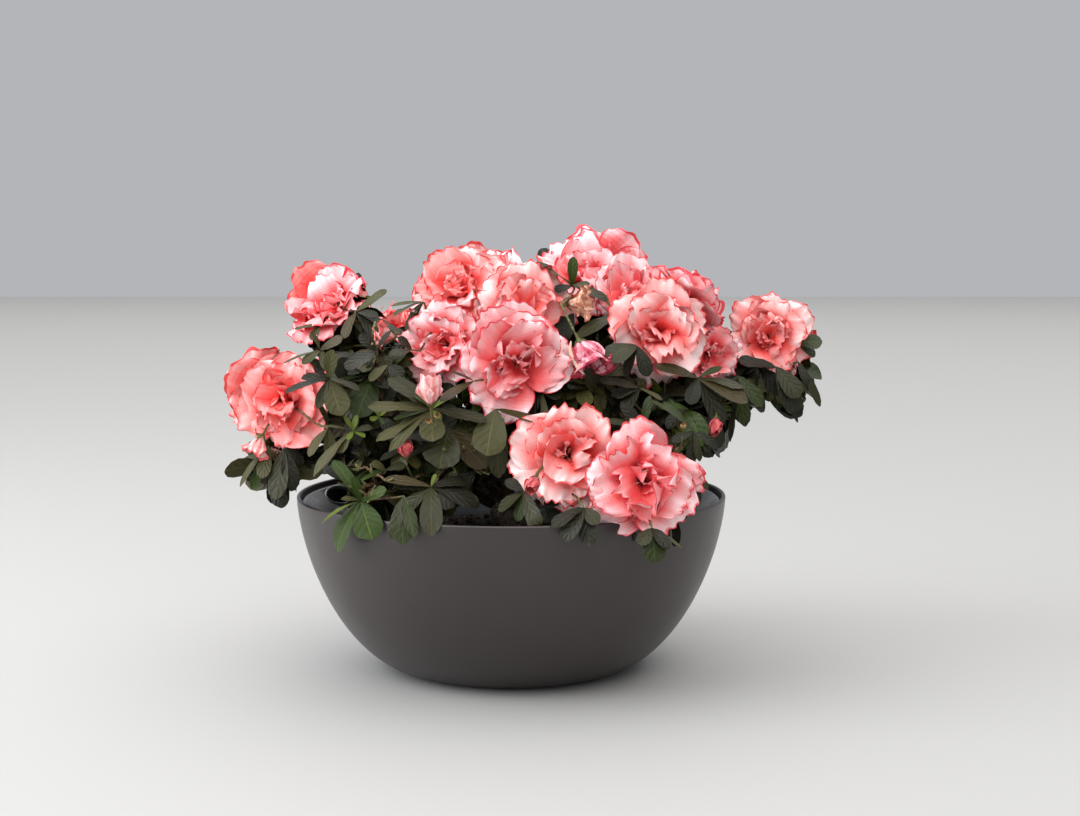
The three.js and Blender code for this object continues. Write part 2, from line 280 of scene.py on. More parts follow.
def new_finish(name, colour, roughness):
    """A material with one Principled shader, and its node tree and shader."""
    finish = bpy.data.materials.new(name)
    finish.use_nodes = True
    finish.diffuse_color = colour
    tree = finish.node_tree
    shader = tree.nodes["Principled BSDF"]
    return finish, tree, feed(tree, shader, {"Base Color": colour, "Roughness": roughness})


def add_noise(tree, scale, detail=3.0):
    """A noise texture on the piece's own metres; scale is in patches to the metre."""
    place = tree.nodes.new("ShaderNodeTexCoord").outputs["Object"]
    noise = tree.nodes.new("ShaderNodeTexNoise")
    feed(tree, noise, {"Vector": place, "Scale": scale, "Detail": detail, "Roughness": NOISE_ROUGHNESS})
    return noise.outputs["Fac"]


def add_range(tree, value, low, high, start=0.3, end=0.7):
    """Noise from start to end stretched to the range from low to high."""
    node = tree.nodes.new("ShaderNodeMapRange")
    feed(tree, node, {"Value": value, "From Min": start, "From Max": end, "To Min": low, "To Max": high})
    return node.outputs["Result"]


def add_bump(tree, shader, height, strength, depth):
    """A relief in the shader's normal from a height between 0 and 1, depth metres deep."""
    bump = tree.nodes.new("ShaderNodeBump")
    feed(tree, bump, {"Strength": strength, "Distance": depth, "Height": height})
    feed(tree, shader, {"Normal": bump.outputs["Normal"]})


def add_mottle(tree, scale, detail, first, second, start=0.3, end=0.7):
    """Two colours blended by noise, whose values from start to end make up the whole blend. The second
    may come from another node."""
    share = add_range(tree, add_noise(tree, scale, detail), 0.0, 1.0, start, end)
    mix = tree.nodes.new("ShaderNodeMix")
    mix.data_type = "RGBA"
    return feed(tree, mix, {"Factor": share, "A": first, "B": second}).outputs["Result"]


def vary_gloss(tree, shader, scale, low, high):
    """A roughness that noise carries from low to high."""
    feed(tree, shader, {"Roughness": add_range(tree, add_noise(tree, scale), low, high)})


print("coral in linear light", [round(v, 3) for v in paint(241, 109, 108)])

# %% [markdown]
# ## The studio
# The plant stands on a plain pale floor in soft light. A large softbox on the left lights the bowl's
# left side and lays a grey sheen on the leaves. A broad weak fill keeps the right side readable, and a
# wide panel high up lights the floor and the tops of the blooms.

# %% Floor and lights
FLOOR_SIZE = 14.0
AIR_STRENGTH = 0.62
CROWN_MIDDLE = np.array([0.0, 0.0, 0.16])
# Name, place and side in metres, power in watts, colour
SOFTBOXES = [
    ("left_softbox", (-1.5, -0.5, 0.9), 1.5, 34.0, (0.93, 0.965, 1.0)),
    ("front_fill", (0.3, -1.9, 1.6), 1.6, 13.0, (1.0, 0.97, 0.94)),
    ("ceiling_panel", (0.0, 0.5, 6.0), 12.0, 800.0, (1.0, 0.995, 0.985)),
]

floor_points = np.array([[-1, -1, 0], [1, -1, 0], [1, 1, 0], [-1, 1, 0]]) * FLOOR_SIZE / 2
floor_mesh = bpy.data.meshes.new("studio_floor")
floor_mesh.from_pydata(floor_points.tolist(), [], [(0, 1, 2, 3)])
floor = add_object("studio_floor", floor_mesh)
floor_finish, floor_tree, floor_shader = new_finish("studio_floor", paint(172, 171, 169), 0.6)
add_bump(floor_tree, floor_shader, add_noise(floor_tree, 300.0), 0.05, 0.0005)
floor_mesh.materials.append(floor_finish)
floor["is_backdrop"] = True

world = bpy.data.worlds.new("studio_air")
bpy.context.scene.world = world
world.use_nodes = True
air = world.node_tree.nodes["Background"]
feed(world.node_tree, air, {"Color": paint(222, 224, 228), "Strength": AIR_STRENGTH})
bpy.context.scene.view_settings.view_transform = "Standard"


def add_softbox(name, place, size, power, colour):
    """A square area light that faces the middle of the crown."""
    light = bpy.data.lights.new(name, "AREA")
    light.shape = "SQUARE"
    light.size = size
    light.energy = power
    light.color = colour
    box = add_object(name, light)
    towards = CROWN_MIDDLE - np.array(place)
    across = math.hypot(towards[0], towards[1])
    box.location = place
    box.rotation_euler = (math.atan2(across, -towards[2]), 0.0, math.atan2(-towards[0], towards[1]))


for softbox in SOFTBOXES:
    add_softbox(*softbox)

# %% [markdown]
# ## The bowl
# The planter is moulded from thick matt plastic: a round belly rises from a flat foot to a plumb rim
# with a softly rounded edge. One profile carried round the axis makes it. The belly follows the same
# curve as the measured model, whose radius and height are read from its box, and the rim and the
# foot's edge are rounded as a mould needs them.

# %% Bowl
FOOT_RADIUS = 66 * MM
BELLY_RISE_POWER = 1.584
BELLY_ROUND_POWER = 1.87
BOWL_WALL = 2.6 * MM
BOWL_FLOOR = 4 * MM
BOWL_SIDES = 160
BOWL_STEPS = 44
FOOT_CROWDING = 2.2
FOOT_ROUNDING = 0.6 * MM
FOOT_RECESS = 0.8 * MM
FOOT_RING_WIDTH = 3 * MM
RECESS_MARGIN = 4 * MM
RIM_ARC_STEPS = 9
BOWL_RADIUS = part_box("planter_bowl")[1][0]
BOWL_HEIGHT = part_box("planter_bowl")[1][2]


def belly_radius(height):
    """The outer radius at a height: foot + (rim - foot) (1 - (1 - h / H) ^ rise) ^ (1 / round)."""
    share = np.clip(height / BOWL_HEIGHT, 0, 1)
    fullness = (1 - (1 - share) ** BELLY_RISE_POWER) ** (1 / BELLY_ROUND_POWER)
    return FOOT_RADIUS + (BOWL_RADIUS - FOOT_RADIUS) * fullness


def arc(middle, radius, start, end, steps):
    """Points (r, h) on an arc about a middle from one angle to another, in degrees."""
    angle = np.radians(np.linspace(start, end, steps))
    return np.stack([middle[0] + radius * np.cos(angle), middle[1] + radius * np.sin(angle)], axis=-1)


def bowl_profile():
    """Foot, belly, rounded rim, inner wall and floor, from the axis back to the axis. The heights crowd
    towards the foot, where the belly turns fastest: h = H u ^ 2.2."""
    edge = BOWL_WALL / 2
    rim_height = BOWL_HEIGHT - edge
    rise = np.linspace(0, 1, BOWL_STEPS) ** FOOT_CROWDING
    outside = np.stack([belly_radius(rise * rim_height), rise * rim_height], axis=-1)
    outside[0] = (FOOT_RADIUS - FOOT_ROUNDING, 0.0)
    rim = arc((BOWL_RADIUS - edge, rim_height), edge, 0, 180, RIM_ARC_STEPS)
    heights = (BOWL_FLOOR + (rim_height - BOWL_FLOOR) * rise)[::-1]
    inside = np.stack([belly_radius(heights) - BOWL_WALL, heights], axis=-1)
    under = [(0, FOOT_RECESS), (30 * MM, FOOT_RECESS), (FOOT_RADIUS - RECESS_MARGIN, FOOT_RECESS),
             (FOOT_RADIUS - FOOT_RING_WIDTH, 0)]
    floor_inside = [(inside[-1, 0] * 0.5, BOWL_FLOOR), (0, BOWL_FLOOR)]
    return np.concatenate([under, outside, rim[1:-1], inside, floor_inside])


def bowl_finish():
    """Matt warm grey plastic with a faint mottle, a fine eggshell grain and a gloss that varies."""
    finish, tree, shader = new_finish("bowl_plastic", paint(46, 38, 37), 0.32)
    mottle = add_mottle(tree, 9.0, 4.0, paint(43, 36, 35), paint(49, 41, 40))
    vary_gloss(tree, shader, 26.0, 0.32, 0.40)
    add_bump(tree, shader, add_noise(tree, 1700.0, 2.0), 0.1, 0.0003)
    feed(tree, shader, {"Base Color": mottle, "Specular IOR Level": 0.6})
    return finish


bowl_points = turned_points(bowl_profile(), BOWL_SIDES)
bowl = add_grids("bowl_shell", bowl_points, [bowl_finish()], wrap=True)
close_mesh(bowl)
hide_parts("planter_bowl")
print("bowl faces", len(bowl.data.polygons))

# %% [markdown]
# ## The liner
# A self-watering planter holds a second pot, whose flange sits just inside the rim. From there a collar
# slopes at 45 degrees down to the compost, with an oval mouth on one side, where water goes in. The pot
# is turned from a profile, the mouth is cut through it with a Boolean, and its lip is a half-round bead
# carried round the same oval.

# %% Liner
LINER_WALL = 2.2 * MM
COLLAR_DROP = 26 * MM
FLANGE_WIDTH = 2.4 * MM
FLANGE_DEPTH = 1.4 * MM
FLANGE_EDGE = 0.7 * MM
LINER_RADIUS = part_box("planter_liner")[1][0]
FLANGE_TOP = 110.4 * MM
LINER_FLOOR_RADIUS = 60 * MM
LINER_FLOOR_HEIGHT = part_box("planter_liner")[0][2]
COLLAR_RADIUS = LINER_RADIUS - FLANGE_WIDTH
WELL_RADIUS = COLLAR_RADIUS - COLLAR_DROP
WELL_HEIGHT = FLANGE_TOP - COLLAR_DROP
KNEE_BULGE = 9 * MM
KNEE_DROP = 8 * MM
KNEE_RADIUS = (WELL_RADIUS + LINER_FLOOR_RADIUS) / 2 + KNEE_BULGE
KNEE_HEIGHT = (WELL_HEIGHT + LINER_FLOOR_HEIGHT) / 2 - KNEE_DROP
MOUTH_AZIMUTH = math.radians(158)
MOUTH_HEIGHT = 104.3 * MM
MOUTH_HALF_LENGTH = 17 * MM
MOUTH_HALF_WIDTH = 6.6 * MM
CUT_REACH = 9 * MM
LINER_SIDES = 160
OVAL_STEPS = 72
# The lip's section in mm: out from the mouth's edge, and up from the collar's face
LIP_SECTION = [(0.1, -1.6), (0.0, 0.7), (0.4, 1.15), (1.0, 1.3), (1.5, 1.0), (1.8, 0.2), (1.8, -0.6)]


def mouth_frame():
    """The mouth's middle, and its directions along the rim, up the collar and out of its face."""
    outward = np.array([math.cos(MOUTH_AZIMUTH), math.sin(MOUTH_AZIMUTH), 0.0])
    along = np.array([outward[1], -outward[0], 0.0])
    up_slope = unit(outward + np.array([0.0, 0.0, 1.0]))
    middle = outward * (COLLAR_RADIUS - (FLANGE_TOP - MOUTH_HEIGHT)) + np.array([0.0, 0.0, MOUTH_HEIGHT])
    return middle, along, up_slope, np.cross(along, up_slope)


def oval_ring(grown, lift):
    """A closed ring of points: middle + cos a (half length + grown) along + sin a (half width + grown)
    up the slope + lift out of the face."""
    middle, along, up_slope, facing = mouth_frame()
    angle = np.arange(OVAL_STEPS)[:, None] * 2 * np.pi / OVAL_STEPS
    flat = np.cos(angle) * (MOUTH_HALF_LENGTH + grown) * along
    flat = flat + np.sin(angle) * (MOUTH_HALF_WIDTH + grown) * up_slope
    return middle + flat + lift * facing


def liner_profile():
    """Floor, knee, well, collar and flange outside, then the same inside, with a rounded flange edge."""
    slant = LINER_WALL * math.sqrt(2)
    bottom = FLANGE_TOP - FLANGE_DEPTH
    edge = arc((LINER_RADIUS - FLANGE_EDGE, FLANGE_TOP - FLANGE_EDGE), FLANGE_EDGE, -90, 90, 7)
    outside = [(0, LINER_FLOOR_HEIGHT), (LINER_FLOOR_RADIUS, LINER_FLOOR_HEIGHT)]
    outside += [(KNEE_RADIUS, KNEE_HEIGHT), (WELL_RADIUS, WELL_HEIGHT - slant / 2)]
    outside += [(COLLAR_RADIUS + LINER_WALL, bottom)]
    inner_floor = LINER_FLOOR_HEIGHT + LINER_WALL
    inside = [(COLLAR_RADIUS + 0.5 * MM, FLANGE_TOP), (COLLAR_RADIUS, FLANGE_TOP - 0.4 * MM)]
    inside += [(WELL_RADIUS + shift * MM, WELL_HEIGHT + shift * MM) for shift in (0.8, -0.6)]
    inside += [(WELL_RADIUS - LINER_WALL, WELL_HEIGHT - 4 * MM)]
    inside += [(KNEE_RADIUS - LINER_WALL, KNEE_HEIGHT + LINER_WALL / 2)]
    inside += [(LINER_FLOOR_RADIUS - LINER_WALL, inner_floor), (0, inner_floor)]
    return np.concatenate([outside, edge, inside])


def liner_finish():
    """Satin grey plastic, smoother than the bowl and faintly cloudy."""
    finish, tree, shader = new_finish("liner_plastic", paint(112, 116, 120), 0.26)
    mottle = add_mottle(tree, 22.0, 4.0, paint(104, 108, 112), paint(120, 124, 128))
    feed(tree, shader, {"Base Color": mottle})
    vary_gloss(tree, shader, 60.0, 0.2, 0.34)
    add_bump(tree, shader, add_noise(tree, 900.0, 2.0), 0.05, 0.0002)
    return finish


def cut_with(piece, cutter):
    """Takes the cutter away from the piece with an exact Boolean, applies it and deletes the cutter."""
    modifier = piece.modifiers.new("cut", "BOOLEAN")
    modifier.operation = "DIFFERENCE"
    modifier.solver = "EXACT"
    modifier.object = cutter
    result = bpy.data.meshes.new_from_object(piece.evaluated_get(bpy.context.evaluated_depsgraph_get()))
    piece.modifiers.clear()
    piece.data = result
    bpy.data.objects.remove(cutter)


liner_grey = liner_finish()
liner_points = turned_points(liner_profile(), LINER_SIDES)
liner = add_grids("liner_insert", liner_points, [liner_grey], wrap=True)
close_mesh(liner)
cutter_rings = np.stack([oval_ring(0.0, -CUT_REACH), oval_ring(0.0, CUT_REACH)])
cutter = add_grids("mouth_cutter", cutter_rings, [liner_grey], wrap=True)
close_mesh(cutter, fill=True)
cut_with(liner, cutter)
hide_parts("planter_liner")

lip_rings = [oval_ring(out * MM, rise * MM) for out, rise in LIP_SECTION]
lip_rings.append(lip_rings[0])
lip = add_grids("mouth_lip", np.stack(lip_rings), [liner_grey], wrap=True)
close_mesh(lip)
print("liner faces", len(liner.data.polygons), "lip faces", len(lip.data.polygons))

# %% [markdown]
# ## The compost
# Between the collar and the stem lies peaty compost, dark and crumbly. It is a round bed that falls
# towards its edge and is broken up by two sizes of unevenness, with loose crumbs of bark and peat on
# top. Only slits of it show between the leaves, but they decide whether the pot looks planted.

# %% Compost
SOIL_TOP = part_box("planting_soil")[1][2]
SOIL_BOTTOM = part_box("planting_soil")[0][2]
SOIL_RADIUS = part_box("planting_soil")[1][0]
SOIL_EDGE_DROP = 5 * MM
SOIL_FLAT_RADIUS = 24 * MM
SOIL_SIDES = 180
SOIL_RINGS = 64
# Unevenness of the bed: how high in mm, the size of its lumps in mm, and its seed
SOIL_LUMPS = [(1.0, 22, 5), (0.7, 6, 6)]
SOIL_MIDDLE_FADE = 6 * MM
SOIL_EDGE_FADE = 3 * MM
CRUMBS = 420
CRUMB_RINGS = 5
CRUMB_SIDES = 6
CRUMB_LIFT = 0.4 * MM
BARK_CHIP_SHARE = 0.35


def soil_height(radius):
    """The bed's height without its crumbs: level near the stem, then down in a straight slope."""
    slope = np.clip((radius - SOIL_FLAT_RADIUS) / (SOIL_RADIUS - SOIL_FLAT_RADIUS), 0, 1)
    return SOIL_TOP - SOIL_EDGE_DROP * slope


def soil_finish(name, dark, light):
    """Peat: nearly black where damp, brown where dry, rough all over."""
    finish, tree, shader = new_finish(name, dark, 0.95)
    feed(tree, shader, {"Base Color": add_mottle(tree, 130.0, 6.0, dark, light, 0.35, 0.65)})
    add_bump(tree, shader, add_noise(tree, 900.0, 6.0), 0.6, 0.0008)
    return finish


def crumb_points(count, random):
    """Uneven lumps: spheres of 5 rings by 6, each stretched and pushed about a little, scattered evenly
    over the bed: radius = R sqrt u."""
    height = np.sin(np.linspace(-np.pi / 2, np.pi / 2, CRUMB_RINGS))[:, None]
    angle = np.arange(CRUMB_SIDES) * np.pi / 3
    ring = np.sqrt(1 - height**2)
    ball = np.stack(np.broadcast_arrays(ring * np.cos(angle), ring * np.sin(angle), height), axis=-1)
    sizes = random.uniform(0.7, 2.4, (count, 1, 1, 3)) * MM
    pushes = random.normal(size=(count, CRUMB_RINGS, CRUMB_SIDES, 1)) * ring[..., None]
    shape = ball * sizes * (1 + 0.25 * pushes)
    radius = (SOIL_RADIUS - SOIL_EDGE_FADE) * np.sqrt(random.uniform(size=count))
    turn = random.uniform(0, 2 * np.pi, count)
    height = soil_height(radius) + CRUMB_LIFT
    place = np.stack([radius * np.cos(turn), radius * np.sin(turn), height], axis=-1)
    return shape + place[:, None, None]


soil_radii = np.linspace(0, 1, SOIL_RINGS) * SOIL_RADIUS
soil_top = turned_points(np.stack([soil_radii, soil_height(soil_radii)], axis=-1), SOIL_SIDES)
fade = np.clip(soil_radii / SOIL_MIDDLE_FADE, 0, 1)
fade = fade * np.clip((SOIL_RADIUS - soil_radii) / SOIL_EDGE_FADE, 0, 1)
rough = sum(high * uneven(soil_top, size * MM, seed) for high, size, seed in SOIL_LUMPS)
soil_top[..., 2] += rough * fade[:, None] * MM
soil_under = turned_points([(SOIL_RADIUS - 6 * MM, SOIL_TOP - 12 * MM), (90 * MM, 52 * MM),
                            (57 * MM, SOIL_BOTTOM), (0, SOIL_BOTTOM)], SOIL_SIDES)
peat = soil_finish("compost", paint(28, 21, 17), paint(62, 47, 36))
bark_chip = soil_finish("bark_chips", paint(46, 33, 24), paint(98, 72, 50))
soil_points = np.concatenate([soil_top, soil_under])
compost = add_grids("compost_bed", soil_points, [peat], wrap=True)
close_mesh(compost)
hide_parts("planting_soil")
crumb_random = np.random.default_rng(17)
crumbs = crumb_points(CRUMBS, crumb_random)
crumb_faces = (CRUMB_RINGS - 1) * CRUMB_SIDES
crumb_kind = np.repeat(crumb_random.uniform(size=CRUMBS) < BARK_CHIP_SHARE, crumb_faces)
loose = add_grids("compost_crumbs", crumbs, [peat, bark_chip], crumb_kind, wrap=True)
close_mesh(loose)
print("compost faces", len(compost.data.polygons), "crumbs", CRUMBS)

# %% [markdown]
# ## The wood
# A pot azalea has one short stem that forks low into crooked grey-brown limbs. The model gives each
# limb as a plain six-sided bar, which ends where it enters its mass. Its corners stand evenly round it,
# so a cubic curve fitted through them runs down its middle. A finer tube follows that line with long
# ridges of bark, swells where it leaves its parent, and runs on into the mass.

# %% Lines and tubes
BARK_SIDES = 18
BARK_GRAIN = 12 * MM


def nodes_of(kind):
    """The names of the measured model's nodes of one kind, without the kind's own word."""
    return [name.removeprefix(kind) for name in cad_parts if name.startswith(kind)]


def node_corners(name):
    """The corners (n, 3) of a node of the measured model."""
    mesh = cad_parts[name].data
    corners = np.empty(len(mesh.vertices) * 3)
    mesh.vertices.foreach_get("co", corners)
    return np.unique(corners.reshape(-1, 3).round(7), axis=0)


def middle_line(corners, towards, steps=9):
    """A limb's middle: corners are ranked by their share of its longest direction, and x, y and z are
    each the cubic of that share that fits them best. The radius is the straight line that best fits
    their distances from it."""
    middle = corners.mean(axis=0)
    longest = np.linalg.svd(corners - middle, full_matrices=False)[2][0]
    longest = longest * np.sign(longest @ (towards - middle))
    share = (corners - middle) @ longest
    share = (share - share.min()) / np.ptp(share)
    shape = np.linalg.lstsq(np.vander(share, 4), corners, rcond=None)[0]
    distance = np.linalg.norm(corners - np.vander(share, 4) @ shape, axis=-1)
    even = np.linspace(0, 1, steps)
    return np.vander(even, 4) @ shape, np.polyval(np.polyfit(share, distance, 1), even)


def smooth_path(knots, steps):
    """A curve through knots (..., k, 3) at even steps, made of cubics: between b and c, with a before
    and d after, p = b + (c - a) t / 2 + (2a - 5b + 4c - d) t^2 / 2 + (3b - a - 3c + d) t^3 / 2."""
    ends = [2 * knots[..., :1, :] - knots[..., 1:2, :], 2 * knots[..., -1:, :] - knots[..., -2:-1, :]]
    padded = np.concatenate([ends[0], knots, ends[1]], axis=-2)
    place = np.linspace(0, knots.shape[-2] - 1 - 1e-9, steps)
    first = place.astype(int)
    t = (place - first)[:, None]
    a, b, c, d = (padded[..., first + shift, :] for shift in range(4))
    cubic = (2 * a - 5 * b + 4 * c - d) * t**2 + (3 * b - a - 3 * c + d) * t**3
    return b + ((c - a) * t + cubic) / 2


def rings_about(paths, radii, sides):
    """Tubes round paths (..., k, 3): path + radius (cos a u + sin a v), where u and v are square to the
    path and u is the cross product of its direction with the axis that it is least like."""
    along = unit(np.gradient(paths, axis=-2))
    least = np.argmin(np.abs(along.mean(axis=-2)), axis=-1)
    u = unit(np.cross(along, np.eye(3)[least][..., None, :]))
    v = np.cross(along, u)
    angle = np.arange(sides)[:, None] * 2 * np.pi / sides
    spokes = np.cos(angle) * u[..., None, :] + np.sin(angle) * v[..., None, :]
    return paths[..., None, :] + radii[..., None, None] * spokes


def bark_tube(path, radii, seed):
    """A limb with bark: a tube whose radius is raised and sunk by unevenness that is drawn out ten times
    along the limb, and drawn in to a point at both ends."""
    length = np.linalg.norm(np.diff(path, axis=0), axis=-1).sum()
    share = np.linspace(0, 1, len(path))
    angle = np.arange(BARK_SIDES) * 2 * np.pi / BARK_SIDES
    ridge_place = np.stack(np.broadcast_arrays(
        np.cos(angle), np.sin(angle), (share * length / BARK_GRAIN)[:, None]), axis=-1)
    relief = 0.1 * uneven(ridge_place, 2.4, seed) + 0.07 * uneven(ridge_place, 0.9, seed + 1, 1)
    ends = np.minimum(1, np.minimum(share, 1 - share) * len(path) / 1.5) ** 0.5
    rings = rings_about(path, radii * ends, BARK_SIDES)
    return path[:, None] + (rings - path[:, None]) * (1 + relief)[..., None]


def mass_middle(name):
    """The middle of a mass's box and half its sizes."""
    low, high = (np.array(corner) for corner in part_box(f"mass_{name}"))
    return (low + high) / 2, (high - low) / 2


stem_line, _ = middle_line(node_corners("stem"), np.array([0.0, 0.0, 1.0]))
print("the stem's middle line in mm", (stem_line[[0, -1]] / MM).round(1).tolist())

# %% Limbs
PARENTS = {"back": "top_left", "top": "top_left", "front_middle": "top_left", "upper_left": "top_left",
           "left_high": "top_left", "inner_right": "right_middle", "right_far": "right_middle",
           "left_low": "left_middle", "left_rim": "left_low", "right_rim": "front_right",
           "back_rim_left": "back_left", "back_rim_right": "back_right"}
# Two masses share their neighbour's bough: parent and the place on its line where their limb leaves
SIDE_LIMBS = {"left_hanging": ("left_low", 24), "right_high": ("right_far", 16)}
STEM_RADIUS = 8.4 * MM
STEM_FLARE = 5 * MM
STEM_FLARE_REACH = 0.22
STEM_SUNK = 1.5 * MM
TWIG_START_RADIUS = 1.5 * MM
STEM_STEPS = 26
LIMB_STEPS = 40
SIDE_LIMB_STEPS = 24
# Radii in mm at the two ends of a limb that leaves a neighbour's bough
SIDE_LIMB_RADII = (2.2, 1.5)
FORK_SWELL = 0.6
FORK_FADE = 9
STEM_SEED, LIMB_SEED, LIMB_SEED_STEP, SIDE_LIMB_SEED = 100, 200, 7, 400

limb_lines = {"stem": stem_line}
stem_share = np.linspace(0, 1, STEM_STEPS)
stem_path = smooth_path(stem_line, STEM_STEPS)
stem_radii = STEM_RADIUS + STEM_FLARE * np.exp(-stem_share / STEM_FLARE_REACH)
stem_path[0, 2] -= STEM_SUNK
limb_tubes = [bark_tube(stem_path, stem_radii, STEM_SEED)]
bough_names = nodes_of("bough_")
bough_names.sort(key=lambda name: (name in PARENTS) + (PARENTS.get(name) in PARENTS))
limb_share = np.linspace(0, 1, LIMB_STEPS)
swell = 1 + FORK_SWELL * np.exp(-limb_share * FORK_FADE)
for number, name in enumerate(bough_names):
    goal, _ = mass_middle(name)
    line, radii = middle_line(node_corners(f"bough_{name}"), goal)
    parent = limb_lines[PARENTS.get(name, "stem")]
    fork = parent[np.argmin(np.linalg.norm(parent - line[0], axis=-1))]
    knots = np.concatenate([fork[None], line[::2], ((line[-1] + 2 * goal) / 3)[None]])
    thick = np.interp(limb_share, [0, 0.75, 1], [radii[0], radii[-1], TWIG_START_RADIUS])
    limb_lines[name] = smooth_path(knots, LIMB_STEPS)
    limb_tubes.append(bark_tube(limb_lines[name], thick * swell, LIMB_SEED + LIMB_SEED_STEP * number))
for name, (parent_name, place) in SIDE_LIMBS.items():
    parent = limb_lines[parent_name]
    goal, _ = mass_middle(name)
    leaving = parent[place] + (parent[place + 2] - parent[place]) * 1.5 + (goal - parent[place]) * 0.3
    knots = np.stack([parent[place], leaving, (2 * goal + leaving) / 3, goal])
    limb_lines[name] = smooth_path(knots, SIDE_LIMB_STEPS)
    thick = np.linspace(*SIDE_LIMB_RADII, SIDE_LIMB_STEPS) * MM
    limb_tubes.append(bark_tube(limb_lines[name], thick, SIDE_LIMB_SEED + place))
print("limbs", len(limb_tubes))

# %% Bark
def bark_finish(name, shadow, dry, wet):
    """Grey-brown bark: dry grey patches on brown, darker in its cracks, with a fine scaly relief."""
    finish, tree, shader = new_finish(name, dry, 0.85)
    patches = add_mottle(tree, 90.0, 5.0, wet, dry, 0.4, 0.62)
    feed(tree, shader, {"Base Color": add_mottle(tree, 420.0, 4.0, shadow, patches, 0.38, 0.55)})
    vary_gloss(tree, shader, 200.0, 0.7, 0.95)
    add_bump(tree, shader, add_noise(tree, 700.0, 5.0), 0.7, 0.0006)
    return finish


bark = bark_finish("bark", paint(48, 36, 28), paint(128, 110, 92), paint(84, 64, 48))
limb_faces = []
start = 0
for tube in limb_tubes:
    limb_faces.append(grid_faces(len(tube), BARK_SIDES, wrap=True) + start)
    start += len(tube) * BARK_SIDES
wood = add_piece("wood_limbs", np.concatenate([tube.reshape(-1, 3) for tube in limb_tubes]),
                 np.concatenate(limb_faces), [bark])
close_mesh(wood)
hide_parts("stem", *[f"bough_{name}" for name in bough_names])
print("wood faces", len(wood.data.polygons))

# %% [markdown]
# ## Blooms: where they sit
# The plant carries double blooms of six to seven centimetres. The ones that the viewer knows are
# placed by their middle in the picture and a depth, with the direction that each faces and its radius.
# The other sides of the crown have blooms of the same kind. Each bloom has a shoot behind it: its tip is
# where the flower's stalk starts, and a twig grows to it from the bough.

# %% Bloom places
# Mass, pixel across and down, depth in mm, direction that it faces, radius in mm
SEEN_BLOOMS = [
    ("left_low", 281, 402, -54, (-0.3, -0.94, 0.1), 32),
    ("left_high", 325, 304, -16, (-0.44, -0.56, 0.7), 31),
    ("top_left", 457, 284, -26, (-0.3, -0.74, 0.6), 31),
    ("top_left", 524, 306, -44, (0.26, -0.84, 0.46), 31),
    ("top_left", 497, 276, -4, (0.05, -0.42, 0.9), 28),
    ("upper_left", 440, 344, -58, (-0.45, -0.87, 0.1), 27),
    ("front_middle", 517, 362, -90, (0.04, -0.98, 0.1), 35),
    ("top", 583, 273, 8, (0.16, -0.6, 0.77), 31),
    ("top", 632, 292, -12, (0.14, -0.8, 0.55), 26),
    ("right_high", 658, 331, -58, (-0.02, -0.98, 0.16), 31),
    ("right_high", 688, 300, -24, (0.34, -0.56, 0.75), 26),
    ("right_high", 714, 356, -42, (0.45, -0.86, -0.2), 20),
    ("right_far", 771, 334, -16, (0.0, -0.95, 0.3), 27),
    ("front_right", 565, 455, -114, (-0.14, -0.97, 0.18), 32),
    ("right_rim", 645, 482, -126, (0.08, -0.98, 0.1), 34),
]
# Mass, direction from its middle, radius in mm
UNSEEN_BLOOMS = [
    ("left_low", (-0.55, 0.78, 0.3), 28),
    ("left_high", (-0.2, 0.95, 0.12), 25),
    ("top_left", (-0.3, 0.92, 0.2), 27),
    ("top", (0.25, 0.9, 0.3), 28),
    ("right_high", (0.62, 0.35, 0.7), 26),
    ("right_far", (0.15, 0.95, 0.28), 27),
    ("right_far", (-0.35, 0.8, -0.45), 24),
    ("back_left", (-0.9, 0.15, 0.42), 30),
    ("back_left", (-0.75, 0.45, -0.62), 25),
    ("back_left", (0.0, 0.9, 0.45), 28),
    ("back_left", (0.3, 0.1, 0.95), 26),
    ("back", (0.0, 0.92, 0.42), 30),
    ("back", (-0.78, 0.72, -0.4), 25),
    ("back", (0.8, 0.7, -0.38), 26),
    ("back", (-0.3, 0.2, 0.95), 28),
    ("back_right", (0.05, 0.92, 0.4), 28),
    ("back_right", (0.92, 0.1, 0.38), 28),
    ("back_right", (0.66, 0.55, -0.52), 25),
    ("back_right", (0.0, 0.2, 0.98), 26),
    ("back_rim_left", (-0.35, 0.9, 0.25), 27),
    ("back_rim_right", (0.3, 0.93, 0.2), 28),
]
MASS_NAMES = nodes_of("mass_")
THROAT_DEPTH = 0.42
BLOOM_SUNK = 0.45
PEDICEL = 13 * MM


def on_mass(mass, facing, sunk):
    """The place where a direction from a mass's middle leaves it, less a depth. The mass is taken for
    the ellipsoid in its box, whose reach is 1 / |direction / half sizes|."""
    middle, half = mass_middle(mass)
    outward = unit(np.array(facing))
    return middle + outward * (1 / np.linalg.norm(outward / half) - sunk)


def gather(seen, unseen, sunk):
    """Arrays of the places, directions and masses in two tables, and the rows' last values. A row of the
    first is placed by its pixel and depth, and one of the second on its mass, sunk in by a depth."""
    places = [at_pixel(across, down, depth * MM) for _, across, down, depth, _, _ in seen]
    places += [on_mass(mass, facing, depth) for (mass, facing, _), depth in zip(unseen, sunk)]
    masses, facings, last_values = zip(*[(row[0], row[-2], row[-1]) for row in seen + unseen])
    return np.array(places), unit(np.array(facings, dtype=float)), np.array(masses), last_values


